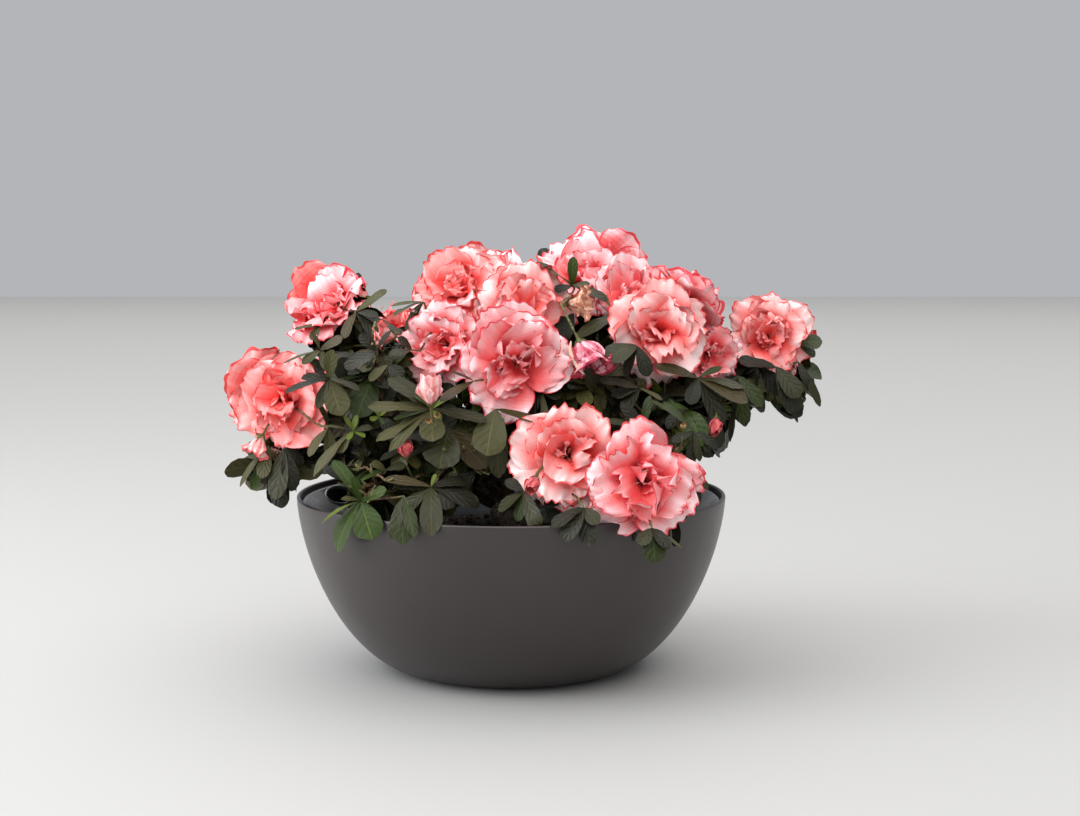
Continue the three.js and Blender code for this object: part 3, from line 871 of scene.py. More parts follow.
bloom_middles, bloom_facings, bloom_masses, bloom_sizes = gather(
    SEEN_BLOOMS, UNSEEN_BLOOMS, [radius * MM * BLOOM_SUNK for _, _, radius in UNSEEN_BLOOMS])
bloom_radii = np.array(bloom_sizes) * MM
bloom_throats = bloom_middles - bloom_facings * (bloom_radii * THROAT_DEPTH)[:, None]
bloom_shoots = bloom_throats - bloom_facings * PEDICEL
print("blooms", len(bloom_masses), "of which seen", len(SEEN_BLOOMS))

# %% [markdown]
# ## Buds and spent blooms
# Among the open blooms are buds, from a tight red one to a fat pink one, a bloom that has gone over to
# magenta, and one that has dried to tan. They are placed in the same way. The kind gives the length and
# width of the petals in millimetres, the angles at claw and margin, and how crumpled they are. In a bud
# the petals lean back in over the middle, so the angle at the margin is negative.

# %% Bud places
BUD_KINDS = {
    "pink_bud": (22, 17, 44, -26, 0.5),
    "red_bud": (12, 10, 44, -28, 0.3),
    "scale_bud": (3.4, 2.9, 44, -34, 0.1),
    "gone_over": (26, 22, 40, 4, 3.0),
    "dried": (17, 12, 26, 44, 2.4),
    "stray_petals": (15, 11, 20, 46, 1.4),
}
# Mass, pixel across and down of the claws, depth in mm, direction that it faces, kind
SEEN_BUDS = [
    ("front_left", 431, 405, -108, (-0.04, -0.25, 0.95), "pink_bud"),
    ("front_left", 406, 457, -104, (-0.05, -0.35, 0.92), "red_bud"),
    ("front_right", 536, 478, -124, (-0.35, -0.7, -0.55), "red_bud"),
    ("front_left", 430, 422, -112, (-0.3, -0.7, 0.5), "scale_bud"),
    ("front_left", 437, 417, -112, (0.1, -0.7, 0.6), "scale_bud"),
    ("top", 579, 341, -76, (0.4, -0.42, -0.8), "gone_over"),
    ("top", 568, 304, -44, (0.85, -0.42, 0.06), "dried"),
    ("left_low", 262, 436, -64, (-0.42, -0.3, -0.85), "stray_petals"),
    ("left_high", 394, 337, -52, (-0.85, -0.45, 0.22), "stray_petals"),
    ("left_middle", 372, 342, -78, (0.0, -0.6, -0.8), "scale_bud"),
    ("right_middle", 716, 418, -74, (-0.1, -0.5, -0.8), "red_bud"),
    ("right_rim", 683, 428, -106, (0.0, -0.4, 0.9), "scale_bud"),
]
# Mass, direction from its middle, kind
UNSEEN_BUDS = [
    ("left_low", (-0.85, 0.4, 0.35), "pink_bud"),
    ("back_left", (-0.55, 0.72, 0.35), "red_bud"),
    ("back_left", (-0.7, 0.1, 0.72), "pink_bud"),
    ("back", (0.3, 0.88, 0.38), "pink_bud"),
    ("back", (-0.3, 0.92, 0.1), "red_bud"),
    ("back_right", (0.97, -0.15, -0.2), "gone_over"),
    ("back_right", (0.55, 0.05, 0.8), "pink_bud"),
    ("back_rim_left", (0.25, 0.9, 0.3), "red_bud"),
    ("right_far", (0.9, 0.38, 0.3), "red_bud"),
]
BUD_STALK = 6 * MM
BUD_SUNK = 12 * MM

bud_claws, bud_facings, bud_masses, bud_kinds = gather(
    SEEN_BUDS, UNSEEN_BUDS, [BUD_SUNK] * len(UNSEEN_BUDS))
bud_shoots = bud_claws - bud_facings * BUD_STALK
print("buds and spent blooms", len(bud_kinds))

# %% [markdown]
# ## Sprays that the viewer knows
# Some leaves catch the eye: the fresh ones that hang over the rim, the whorl round the pink bud, whose
# grey is a painted sheen, and those that cross the blooms. Each of these sprays has a joint, placed as
# the blooms are. For each leaf a row gives its tip in the picture, how much nearer the viewer than the
# joint the tip is, its width, and its place in the list of greens below, which runs from deep to young.

# %% Spray places
# Mass, pixel across and down, depth in mm, then leaves of (across, down, nearer by mm, width mm, green)
# Green 2, the dull grey-green, paints a grey sheen on the known leaves that shine
SEEN_SPRAYS = [
    ("left_middle", 329, 379, -88, [(286, 393, 14, 9, 0), (341, 415, 10, 16, 2), (302, 379, 12, 7, 0),
        (359, 390, 4, 10, 1), (333, 350, 6, 9, 2), (318, 408, 8, 7, 1)]),
    ("left_middle", 320, 350, -78, [(284, 363, 16, 4, 2), (303, 364, 12, 6, 2), (310, 333, 4, 7, 2),
        (342, 338, 2, 11, 3), (328, 370, 8, 7, 2)]),
    ("left_high", 356, 312, -40, [(386, 290, -6, 8, 2), (404, 334, 6, 9, 1), (378, 316, 4, 7, 0),
        (380, 342, 8, 10, 0), (344, 338, 8, 9, 3)]),
    ("left_high", 320, 325, -34, [(295, 329, 8, 4, 2), (312, 340, 6, 7, 2)]),
    ("left_middle", 376, 351, -80, [(346, 369, 8, 16, 0), (391, 331, 2, 9, 0), (360, 334, 2, 10, 0)]),
    ("left_middle", 388, 365, -84, [(370, 381, 6, 8, 2), (402, 378, 4, 10, 0)]),
    ("upper_left", 412, 350, -66, [(390, 355, 8, 10, 1), (398, 338, 4, 8, 0)]),
    ("upper_left", 424, 302, -46, [(391, 306, 6, 4, 2), (394, 316, 10, 9, 2), (410, 318, 6, 6, 2),
        (406, 330, 8, 8, 1)]),
    ("front_left", 432, 409, -98, [(369, 407, 4, 10, 2), (394, 419, 6, 8, 4), (389, 378, -4, 12, 1),
        (377, 441, 12, 9, 2), (390, 451, 16, 7, 2), (432, 441, 14, 16, 2), (486, 421, 6, 9, 1),
        (412, 392, -2, 7, 5), (447, 399, 0, 5, 6), (441, 419, 5, 4, 6), (424, 401, 2, 4, 6)]),
    ("front_middle", 474, 381, -96, [(441, 401, 10, 11, 3), (452, 372, 2, 8, 0)]),
    ("front_left", 449, 429, -98, [(440, 468, 10, 24, 1), (486, 467, 4, 15, 3), (410, 458, 4, 10, 0)]),
    ("front_left", 496, 409, -98, [(487, 455, 12, 22, 2), (498, 477, 4, 13, 1), (536, 421, 8, 12, 4)]),
    ("front_middle", 542, 392, -84, [(547, 427, 8, 5, 2), (560, 398, 4, 9, 0), (524, 418, 2, 10, 0)]),
    ("front_left", 404, 449, -96, [(398, 471, 6, 12, 2), (418, 468, 6, 9, 2), (380, 460, 2, 9, 0)]),
    ("left_middle", 353, 431, -94, [(344, 416, -2, 4, 6), (357, 415, 0, 4, 6), (365, 437, 4, 4, 6),
        (348, 440, 6, 4, 6), (318, 427, 8, 4, 2), (339, 453, 8, 8, 2), (314, 476, 14, 8, 2),
        (372, 428, 0, 6, 1)]),
    ("left_middle", 379, 417, -90, [(375, 404, -2, 4, 6), (387, 411, 2, 4, 6), (370, 420, 4, 4, 6),
        (384, 424, 4, 4, 5), (394, 432, 6, 8, 0)]),
    ("left_low", 328, 428, -80, [(309, 456, 8, 10, 2), (330, 456, 6, 8, 2), (318, 404, 4, 6, 2)]),
    ("left_hanging", 268, 446, -60, [(262, 478, 10, 10, 2), (240, 486, 8, 6, 2), (253, 489, 6, 7, 5),
        (256, 462, -6, 8, 0)]),
    ("left_hanging", 284, 448, -64, [(275, 499, 10, 14, 1), (294, 489, 6, 11, 0), (302, 466, 0, 10, 0)]),
    ("left_rim", 361, 501, -112, [(337, 551, -4, 19, 5), (372, 539, 10, 19, 5), (322, 523, -4, 5, 6),
        (341, 499, 0, 5, 2), (386, 490, 6, 10, 5), (333, 461, -6, 9, 5), (353, 477, 6, 6, 5)]),
    ("left_rim", 386, 470, -104, [(359, 479, 4, 6, 5), (405, 465, 0, 8, 1), (372, 462, 2, 7, 2)]),
    ("left_rim", 404, 496, -120, [(403, 544, 16, 13, 4), (392, 539, 14, 8, 1), (414, 537, 18, 9, 4)]),
    ("front_left", 431, 487, -112, [(400, 518, 6, 12, 1), (432, 535, 25, 14, 1), (453, 507, 4, 14, 0),
        (479, 506, -6, 13, 0), (468, 482, -10, 9, 0), (396, 486, -4, 10, 0), (436, 474, 0, 4, 6),
        (384, 479, -2, 7, 3)]),
    ("front_right", 524, 492, -118, [(499, 511, 0, 11, 1), (518, 521, 4, 8, 4), (540, 534, 21, 10, 1),
        (506, 480, -4, 8, 0)]),
    ("front_right", 584, 508, -132, [(566, 541, 12, 12, 0), (598, 524, 10, 9, 1), (590, 546, 12, 11, 0),
        (552, 528, 8, 10, 0)]),
    ("right_rim", 652, 528, -138, [(655, 562, 8, 14, 4), (668, 549, 8, 9, 0), (640, 545, 8, 9, 1),
        (684, 549, 4, 4, 2)]),
    ("right_rim", 688, 470, -110, [(694, 508, 6, 11, 0), (708, 489, 2, 6, 1), (684, 520, 10, 8, 4)]),
    ("right_rim", 694, 432, -98, [(700, 461, 4, 5, 1), (690, 466, 4, 8, 0), (717, 447, 0, 7, 0),
        (664, 402, -6, 4, 4), (652, 401, -4, 4, 4), (672, 442, 4, 7, 0)]),
    ("inner_right", 643, 430, -92, [(606, 421, 6, 7, 1), (622, 404, 0, 9, 0), (650, 396, -2, 6, 4)]),
    ("inner_right", 640, 388, -80, [(662, 400, 6, 4, 2), (612, 396, 2, 10, 0), (600, 380, 2, 10, 0),
        (624, 412, 6, 11, 0)]),
    ("inner_right", 637, 346, -74, [(606, 359, 6, 18, 1), (648, 376, 4, 10, 0), (626, 376, 4, 8, 0)]),
    ("top", 619, 313, -48, [(577, 337, 8, 12, 1), (612, 306, 0, 6, 4), (598, 322, -6, 10, 0)]),
    ("top", 570, 304, -34, [(562, 342, 10, 13, 0), (553, 328, 6, 10, 0)]),
    ("top", 572, 286, -26, [(537, 262, 8, 8, 5), (573, 257, 2, 7, 5), (607, 301, 6, 9, 1),
        (556, 292, 8, 9, 0), (590, 284, 2, 7, 4)]),
    ("right_middle", 698, 378, -66, [(747, 402, 8, 13, 3), (722, 425, 8, 13, 0), (655, 366, 4, 13, 1),
        (722, 367, 0, 6, 4), (744, 388, 4, 8, 1), (690, 404, 8, 10, 0)]),
    ("right_middle", 738, 376, -48, [(762, 406, 4, 12, 4), (745, 426, 4, 10, 4), (730, 441, 6, 4, 0),
        (712, 410, 6, 10, 0)]),
    ("right_far", 776, 367, -30, [(794, 412, 6, 16, 0), (799, 397, 8, 14, 1), (738, 361, 4, 11, 0),
        (797, 422, 4, 4, 0)]),
    ("right_far", 798, 362, -24, [(820, 406, 4, 6, 1), (808, 384, 6, 6, 0)]),
    ("right_far", 798, 343, -16, [(822, 342, 2, 13, 4), (815, 356, 0, 9, 4)]),
]


spray_masses = np.array([row[0] for row in SEEN_SPRAYS])
spray_places = np.array([row[1:4] for row in SEEN_SPRAYS], dtype=float)
spray_sizes = [len(row[4]) for row in SEEN_SPRAYS]
spray_joints = at_pixel(spray_places[:, 0], spray_places[:, 1], spray_places[:, 2] * MM)
seen_leaves = np.array([leaf for row in SEEN_SPRAYS for leaf in row[4]], dtype=float)
seen_bases = np.repeat(spray_joints, spray_sizes, axis=0)
seen_depths = np.repeat(spray_places[:, 2], spray_sizes) - seen_leaves[:, 2]
seen_tips = at_pixel(seen_leaves[:, 0], seen_leaves[:, 1], seen_depths * MM)
seen_widths = seen_leaves[:, 3] * MM
seen_greens = seen_leaves[:, 4].astype(int)
print("sprays", len(spray_joints), "with leaves", len(seen_bases))

# %% [markdown]
# ## Twigs
# From each bough the mass is filled by a branching rule. Shoots are spread over it by the golden angle,
# with seeded jitter, so they stand about evenly and never in rows. Every third one and each bloom's is a
# leader that grows from the bough itself, and the others branch off the leader that points most nearly
# their way. Each twig bends upwards as it leaves, as shoots that seek light do, thins towards its tip,
# and is closed there over a short last step.

# %% Where shoots may stand
SHOOT_SPACING = 19 * MM
SHOOT_SETBACK = 14 * MM
GOLDEN_ANGLE = math.pi * (3 - math.sqrt(5))
RIM_CLEARANCE = 6 * MM
LOWEST_SHOOT = 92 * MM


def golden_directions(count, turn):
    """Directions spread evenly over a sphere: height 1 - (2 i + 1) / n, and a turn by the golden angle
    from each to the next."""
    number = np.arange(count)
    height = 1 - (2 * number + 1) / count
    angle = number * GOLDEN_ANGLE + turn
    level = np.sqrt(1 - height**2)
    return np.stack([level * np.cos(angle), level * np.sin(angle), height], axis=-1)


def in_the_pot(points, margin=0.0):
    """Which points lie in the bowl or under its rim: lower than the rim and nearer the axis than the
    outer wall, each with a margin."""
    radius = np.hypot(points[..., 0], points[..., 1])
    below = points[..., 2] < BOWL_HEIGHT + margin
    return below & (radius < belly_radius(np.maximum(points[..., 2], 0)) + margin)


def near_a_bloom(points, grown=1.0):
    """Which points lie in a bloom's petals or in front of them: within its radius of the axis, above a
    shallow dish that rises from 0.15 radii by 0.12 of the distance out, and below 1.6 radii."""
    found = np.zeros(points.shape[:-1], dtype=bool)
    for throat, facing, radius in zip(bloom_throats, bloom_facings, bloom_radii):
        arm = points - throat
        height = arm @ facing
        across = np.linalg.norm(arm - height[..., None] * facing, axis=-1)
        above = (height > 0.15 * radius + 0.12 * across) & (height < 1.6 * radius)
        found |= above & (across < radius * grown)
    return found


def seeded_shoots(mass, random):
    """Shoot tips over a mass and their directions. The number is its surface, 4 pi a b roughly, over
    the square of the spacing. They stand a leaf's reach inside its face, and a quarter half-way in."""
    middle, half = mass_middle(mass)
    surface = 4 * math.pi * np.mean([half[0] * half[1], half[1] * half[2], half[0] * half[2]])
    count = int(surface / SHOOT_SPACING**2)
    outward = golden_directions(count, random.uniform(0, 6))
    outward = unit(outward + random.normal(scale=0.16, size=outward.shape))
    depth = np.where(random.uniform(size=count) < 0.24, 0.55, 1.0) * random.uniform(0.86, 1.08, count)
    tips = middle + outward * (half - SHOOT_SETBACK) * depth[:, None]
    kept = ~in_the_pot(tips, RIM_CLEARANCE) & ~near_a_bloom(tips, 0.8)
    kept &= tips[:, 2] > LOWEST_SHOOT
    facing = unit(outward[kept] * np.array([1, 1, 0.8]) + np.array([0, 0, 0.3]))
    return tips[kept], facing


print("the first of eight golden directions", golden_directions(8, 0.0)[0].round(2))

# %% Twigs of a mass
BLOOM, SPRAY, BUD, SEEDED = range(4)
TWIG_STEPS = 8
TWIG_SIDES = 6
YOUNG_STEPS = 3
CLOSED_END = 0.02
LAST_STEP_CUT = 0.85
# Radii in mm: a leader's and a side twig's start, and the tips under a bloom and elsewhere
LEADER_RADIUS, SIDE_RADIUS, BLOOM_TIP_RADIUS, TIP_RADIUS = 1.35, 0.9, 0.85, 0.55
SPRAY_CLEARANCE = 9 * MM
# Tips in mm of shoots that close the crown low down between the masses
LOW_SHOOTS = {
    "left_middle": [(-106, -20, 146), (-112, -30, 134), (-98, 6, 170), (-100, 2, 140), (-88, -14, 134),
        (-84, 8, 190), (-70, -6, 160)],
    "back_left": [(-106, 22, 156), (-92, 22, 132), (-72, 26, 148), (-34, 66, 150), (-38, 30, 127),
        (-16, 40, 125), (-58, 24, 126)],
    "left_high": [(-100, 6, 206)],
    "left_rim": [(-108, -58, 128)],
    "right_middle": [(112, -10, 142), (104, 10, 156), (94, -22, 130), (124, -2, 162), (84, -2, 144),
        (110, 6, 176)],
    "back_right": [(108, 24, 140), (92, 16, 128), (78, 28, 156), (34, 66, 150)],
    "back": [(2, 104, 138), (-12, 96, 158), (16, 98, 150), (6, 50, 127)],
    "inner_right": [(24, -4, 158), (30, 10, 178), (60, 8, 212)],
    "top": [(24, -12, 206), (30, -4, 192), (14, 4, 214), (48, 16, 212), (40, 26, 204)],
    "back_rim_left": [(-46, 50, 126)],
    "back_rim_right": [(40, 46, 126)],
}


def twig_paths(starts, headings, tips, facings):
    """Bent twigs: knots at the start, a third of the way along the parent's heading, two thirds of the
    way back from the tip's own direction, and the tip, with a smooth curve through them."""
    span = np.linalg.norm(tips - starts, axis=-1)[:, None]
    third = starts + (tips - starts) * 0.33 + headings * span * 0.10 + np.array([0, 0, 0.03]) * span
    later = tips - facings * span * 0.24 - (tips - starts) * 0.12
    return smooth_path(np.stack([starts, third, later, tips], axis=1), TWIG_STEPS)


def branch(mass, tips, facings, kinds, random):
    """The mass's twigs as paths (n, steps, 3) and radii (n, steps). A leader starts on the last two
    fifths of the bough, where its tip is nearest, and a side twig about half-way along its leader."""
    bough = limb_lines[mass]
    leader = (kinds == BLOOM) | (np.arange(len(tips)) % 3 == 0)
    last = bough[len(bough) * 3 // 5:]
    middle, _ = mass_middle(mass)
    nearest = np.argmin(np.linalg.norm(tips[:, None] * 0.5 + middle * 0.5 - last, axis=-1), axis=-1)
    starts = last[nearest]
    headings = unit(np.gradient(last, axis=0))[nearest]
    paths = twig_paths(starts, headings, tips, facings)
    arms = unit(tips - middle)
    alike = arms @ arms[leader].T
    followed = np.flatnonzero(leader)[np.argmax(alike, axis=-1)]
    place = random.integers(3, 6, len(tips))
    side_starts = paths[followed, place]
    side_headings = unit(paths[followed, place + 1] - paths[followed, place])
    side_paths = twig_paths(side_starts, side_headings, tips, facings)
    side = ~leader
    paths[side] = side_paths[side]
    thick = np.where(leader, LEADER_RADIUS, SIDE_RADIUS)[:, None] * MM
    thin = np.where(kinds == BLOOM, BLOOM_TIP_RADIUS, TIP_RADIUS)[:, None] * MM
    share = np.linspace(0, 1, TWIG_STEPS)
    return paths, thick + (thin - thick) * share


def shoots_of(mass, random):
    """All shoots of a mass: tips, directions and kinds. Those of its blooms, known sprays and buds come
    first, then the seeded ones, less any too near a spray's joint. The low shoots count as seeded and
    point away from the stem."""
    blooms, buds = bloom_masses == mass, bud_masses == mass
    joints = spray_joints[spray_masses == mass]
    seeded, outward = seeded_shoots(mass, random)
    low = np.array(LOW_SHOOTS.get(mass, []), dtype=float).reshape(-1, 3) * MM
    seeded = np.concatenate([seeded, low])
    outward = np.concatenate([outward, unit(low * np.array([1, 1, 0]) + np.array([0, 0, 0.02]))])
    far = (np.linalg.norm(seeded[:, None] - joints, axis=-1) > SPRAY_CLEARANCE).all(axis=1)
    tips = [bloom_shoots[blooms], joints, bud_shoots[buds], seeded[far]]
    facings = [bloom_facings[blooms], unit(joints - mass_middle(mass)[0] + np.array([0, -0.01, 0.01])),
               bud_facings[buds], outward[far]]
    kinds = np.repeat([BLOOM, SPRAY, BUD, SEEDED], [len(part) for part in tips])
    return np.concatenate(tips), np.concatenate(facings), kinds


print("low shoots", sum(map(len, LOW_SHOOTS.values())))

# %% All twigs
shoot_random = np.random.default_rng(41)
grown = []
for place, mass in enumerate(MASS_NAMES):
    tips, facings, kinds = shoots_of(mass, shoot_random)
    lines, radii = branch(mass, tips, facings, kinds, shoot_random)
    grown.append([tips, facings, kinds, np.full(len(tips), place), lines, radii])
shoot_tips, shoot_facings, shoot_kinds, shoot_masses, twig_lines, twig_radii = (
    np.concatenate(part) for part in zip(*grown))
twig_ends = np.ones(TWIG_STEPS)
twig_ends[[0, -1]] = CLOSED_END
twig_tubes = twig_lines.copy()
twig_tubes[:, -2] += LAST_STEP_CUT * (twig_tubes[:, -1] - twig_tubes[:, -2])
twig_rings = rings_about(twig_tubes, twig_radii * twig_ends, TWIG_SIDES)
twig_finishes = [bark_finish("twig_brown", paint(58, 42, 28), paint(134, 104, 72), paint(104, 76, 50)),
                 bark_finish("twig_green", paint(60, 60, 34), paint(112, 118, 68), paint(88, 92, 48))]
young = np.arange(TWIG_STEPS - 1) >= TWIG_STEPS - YOUNG_STEPS
twig_kind = np.broadcast_to(young[None, :, None], (len(twig_lines), TWIG_STEPS - 1, TWIG_SIDES))
twigs = add_grids("twigs", twig_rings, twig_finishes, twig_kind, wrap=True)
print("shoots", len(shoot_tips), "twig faces", len(twigs.data.polygons))

# %% [markdown]
# ## Leaves
# An azalea's leaf is small and leathery, rounded at its tip and widest beyond its middle, with a pale
# midrib in a shallow fold. One function of two parameters gives all of them: u runs from the stalk to
# the tip and v across. The width follows u ^ 0.7 sqrt(1 - u ^ 3), and the blade bends back in an arc and
# folds along the midrib. The narrow middle column carries the midrib's own colour.

# %% Leaf shape
LEAF_ROWS = np.array([0.0, 0.12, 0.33, 0.56, 0.77, 0.91, 0.985])
MIDDLE_ROW = 3
LEAF_COLUMNS = np.array([-1.0, -0.52, -0.04, 0.04, 0.52, 1.0])
PEAK_WIDTH = 0.64
STALK_WIDTH = 0.06
TIP_ROUNDING = 0.035
EDGE_WAVE = 0.035


def leaf_grid(base, along, face, length, width, bend, fold, twist, wave):
    """Leaves (n, rows, columns, 3). Across: x = v w(u) with w = width u ^ 0.7 sqrt(1 - u ^ 3) / 1.28,
    or the stalk's width. Along the arc: y = L sin(b u) / b and z = -L (1 - cos(b u)) / b. Near the tip u
    grows by 0.035 u ^ 8 (1 - v^2), which rounds it. The fold lifts the halves by fold |x|, and a wave of
    one and a half turns runs along each edge."""
    u = LEAF_ROWS[None, :, None]
    v = LEAF_COLUMNS[None, None, :]
    length, width, bend, fold, twist, wave = (
        value[:, None, None] for value in (length, width, bend, fold, twist, wave))
    shape = np.maximum(u**0.7 * np.sqrt(1 - u**3) / PEAK_WIDTH, STALK_WIDTH)
    x = v * width / 2 * shape
    u = u + TIP_ROUNDING * u**8 * (1 - v**2)
    y = length * np.sin(bend * u) / bend
    z = -length * (1 - np.cos(bend * u)) / bend + fold * np.abs(x)
    z = z + wave * length * EDGE_WAVE * v**2 * np.sin(9.4 * u + 5 * wave + v)
    x, z = x * np.cos(twist * u) - z * np.sin(twist * u) * 0.3, z + x * np.sin(twist * u)
    forward = unit(along)
    up = square_to(forward, face)
    right = np.cross(forward, up)
    place = base[:, None, None] + x[..., None] * right[:, None, None]
    return place + y[..., None] * forward[:, None, None] + z[..., None] * up[:, None, None]


print("a leaf has", (len(LEAF_ROWS) - 1) * (len(LEAF_COLUMNS) - 1), "faces")

# %% [markdown]
# ## Whorls of leaves
# Each shoot ends in a whorl of leaves that turn by the golden angle, and a few more stand below it.
# Under a bloom the whorl opens wide, like a ruff. A leaf faces the way its shoot does and a little to
# the sky, and hangs by its own weight. What would stand in the pot's wall, in front of an open bloom or
# of a spray that the viewer knows, or where the crown is open, is left out, as a real shoot finds its
# way round them. Most leaves of a shoot share one shade of green.

# %% Greens
# A name, the blade's green and the midrib's
LEAF_GREENS = [
    ("leaf_deep", paint(24, 24, 5), paint(42, 43, 15)),
    ("leaf_olive", paint(40, 40, 11), paint(60, 62, 24)),
    # The dull green is a dull tone on seeded leaves, and a painted grey sheen on known ones
    ("leaf_dull_and_sheen", paint(64, 62, 28), paint(84, 84, 44)),
    ("leaf_bronze", paint(58, 47, 18), paint(80, 69, 34)),
    ("leaf_mid", paint(37, 48, 7), paint(60, 75, 22)),
    ("leaf_fresh", paint(44, 62, 8), paint(76, 98, 26)),
    ("leaf_young", paint(82, 97, 20), paint(118, 130, 40)),
]
GREEN_SHARES = [0.30, 0.30, 0.14, 0.08, 0.14, 0.03, 0.01]
DEEP, DULL_AND_SHEEN, YOUNGER = 0, 2, 4
print("greens", len(LEAF_GREENS), "whose shares add up to", round(sum(GREEN_SHARES), 2))

# %% Whorls
WHORL_LEAVES = 8
STEM_LEAVES = 4
FULL_PHASE = 6.3
# Degrees from the shoot: a whorl's first leaf, what the last adds, their stray, then the least and
# most on the twig and in a bloom's ruff
WHORL_LEAN, WHORL_OPENING, LEAN_STRAY = 54, 34, 12
TWIG_LEAN, RUFF_LEAN = (48, 95), (72, 112)
# Length in mm: the least, the usual and the most; and the width as a share of it
LEAF_LENGTHS = (15, 24, 35)
LEAF_WIDTHS = (0.40, 0.60)


def whorl(tips, facings, kinds, lines, green, random):
    """The leaves of many shoots: base, direction, face, length, width, bend, fold, twist, wave and green
    of each. In a whorl, leaf i leans from the shoot by 54 to 84 degrees, give or take 12, and turns by
    i golden angles. Those on the twig sit between half and nine tenths of the way along it."""
    count = WHORL_LEAVES + STEM_LEAVES
    shoots = len(tips)
    number = np.arange(count)[None, :]
    on_twig = number >= WHORL_LEAVES
    first = random.uniform(0, FULL_PHASE, (shoots, 1))
    turn = number * GOLDEN_ANGLE + first + random.normal(0, 0.22, (shoots, count))
    lean = WHORL_LEAN + WHORL_OPENING * (number / WHORL_LEAVES)
    lean = lean + random.normal(0, LEAN_STRAY, (shoots, count))
    lean = np.where(on_twig, random.uniform(*TWIG_LEAN, (shoots, count)), lean)
    ruff = (kinds == BLOOM)[:, None] & ~on_twig
    lean = np.radians(np.where(ruff, random.uniform(*RUFF_LEAN, (shoots, count)), lean))
    spoke = around(np.repeat(facings, count, axis=0), turn.ravel()).reshape(shoots, count, 3)
    along = np.cos(lean)[..., None] * facings[:, None] + np.sin(lean)[..., None] * spoke
    along = along + np.array([0, 0, -0.16]) * random.uniform(0.2, 1.6, (shoots, count, 1))
    face = facings[:, None] * 0.8 - spoke * 0.12 + np.array([0, 0, 0.75])
    face = face + random.normal(0, 0.2, face.shape)
    share = random.uniform(0.5, 0.9, (shoots, count)) * (TWIG_STEPS - 1)
    lower = share.astype(int)
    rows = np.arange(shoots)[:, None]
    between = (share - lower)[..., None]
    on_line = lines[rows, lower] * (1 - between) + lines[rows, lower + 1] * between
    base = tips[:, None] - facings[:, None] * (number * 0.9 * MM)[..., None]
    base = np.where(on_twig[..., None], on_line, base)
    length = random.triangular(*LEAF_LENGTHS, (shoots, count)) * MM * np.where(number < 2, 0.65, 1.0)
    width = length * random.uniform(*LEAF_WIDTHS, (shoots, count))
    bend = random.uniform(0.12, 0.9, (shoots, count))
    fold = random.uniform(-0.08, 0.30, (shoots, count))
    twist = random.normal(0, 0.25, (shoots, count))
    wave = random.uniform(-1, 1, (shoots, count))
    own_green = np.broadcast_to(green[:, None], (shoots, count)).copy()
    stray = random.uniform(size=(shoots, count))
    own_green[stray < 0.14] = DEEP
    own_green[(stray > 0.88) & (own_green < YOUNGER)] = DULL_AND_SHEEN
    values = [base, along, face, length, width, bend, fold, twist, wave, own_green]
    return [value.reshape(-1, 3) if value.ndim == 3 else value.ravel() for value in values]


print("leaves to a shoot", WHORL_LEAVES + STEM_LEAVES)

# %% Known leaves
def known_leaves(bases, tips, widths, random):
    """The values of the leaves whose two ends are known. A leaf bent by b has a chord of
    L sin(b / 2) / (b / 2), which leans b / 2 back from its first direction, so both are set right."""
    count = len(bases)
    chord = tips - bases
    span = np.linalg.norm(chord, axis=-1)
    bend = random.uniform(0.15, 0.7, count)
    face = np.array([-0.10, -0.50, 0.85]) + random.normal(0, 0.16, (count, 3))
    forward = unit(chord)
    up = square_to(forward, face)
    along = forward * np.cos(bend / 2)[:, None] + up * np.sin(bend / 2)[:, None]
    length = span * (bend / 2) / np.sin(bend / 2)
    return [bases, along, up, length, widths, bend, random.uniform(-0.06, 0.2, count),
            random.normal(0, 0.08, count), random.uniform(-1, 1, count)]


print("a known leaf's usual length in mm",
      round(float(np.median(np.linalg.norm(seen_tips - seen_bases, axis=-1))) / MM, 1))

# %% Leaves that are left out
POT_CLEARANCE = 1.5 * MM
RIM_MARGIN = 1.2 * MM
KNOWN_LEAF_PIXELS = 8
KNOWN_LEAF_DEPTH = 3 * MM
BOX_MARGIN = 8 * MM
OVER_THE_RIM = 4 * MM
# Where the crown is open to the viewer: pixel across and down, and radius in pixels
OPEN_PLACES = [(322, 482, 8), (324, 498, 26), (298, 506, 16), (386, 274, 20), (404, 286, 12),
               (734, 308, 13), (756, 436, 22), (780, 432, 22), (766, 386, 7), (742, 458, 20),
               (716, 474, 17), (252, 512, 24), (296, 342, 10), (250, 340, 24), (712, 300, 6),
               (741, 292, 14), (762, 286, 14), (786, 292, 14), (762, 402, 8), (623, 250, 9),
               (806, 300, 13)]
# The same, but only for what stands before the stem
DARK_PLACES = [(492, 506, 24), (512, 474, 12), (462, 520, 12), (476, 474, 9), (520, 506, 8),
               (700, 350, 8), (526, 420, 9)]


def hides_a_known_leaf(middles):
    """Which leaves stand before a known one: seen within 8 pixels of its edge, and nearer the viewer
    than its middle or less than 3 mm behind it."""
    place = in_picture(middles)[:, None]
    start, end = in_picture(seen_bases), in_picture(seen_tips)
    along = end - start
    share = np.clip(((place - start) * along).sum(-1) / (along**2).sum(-1), 0, 1)
    gap = np.linalg.norm(start + share[..., None] * along - place, axis=-1)
    half = seen_widths / 2 * FOCAL_PIXELS / np.linalg.norm(seen_tips - CAMERA_PLACE, axis=-1)
    depth = (seen_bases[:, 1] + seen_tips[:, 1]) / 2
    near = gap < half + KNOWN_LEAF_PIXELS
    return (near & (middles[:, None, 1] < depth + KNOWN_LEAF_DEPTH)).any(axis=1)


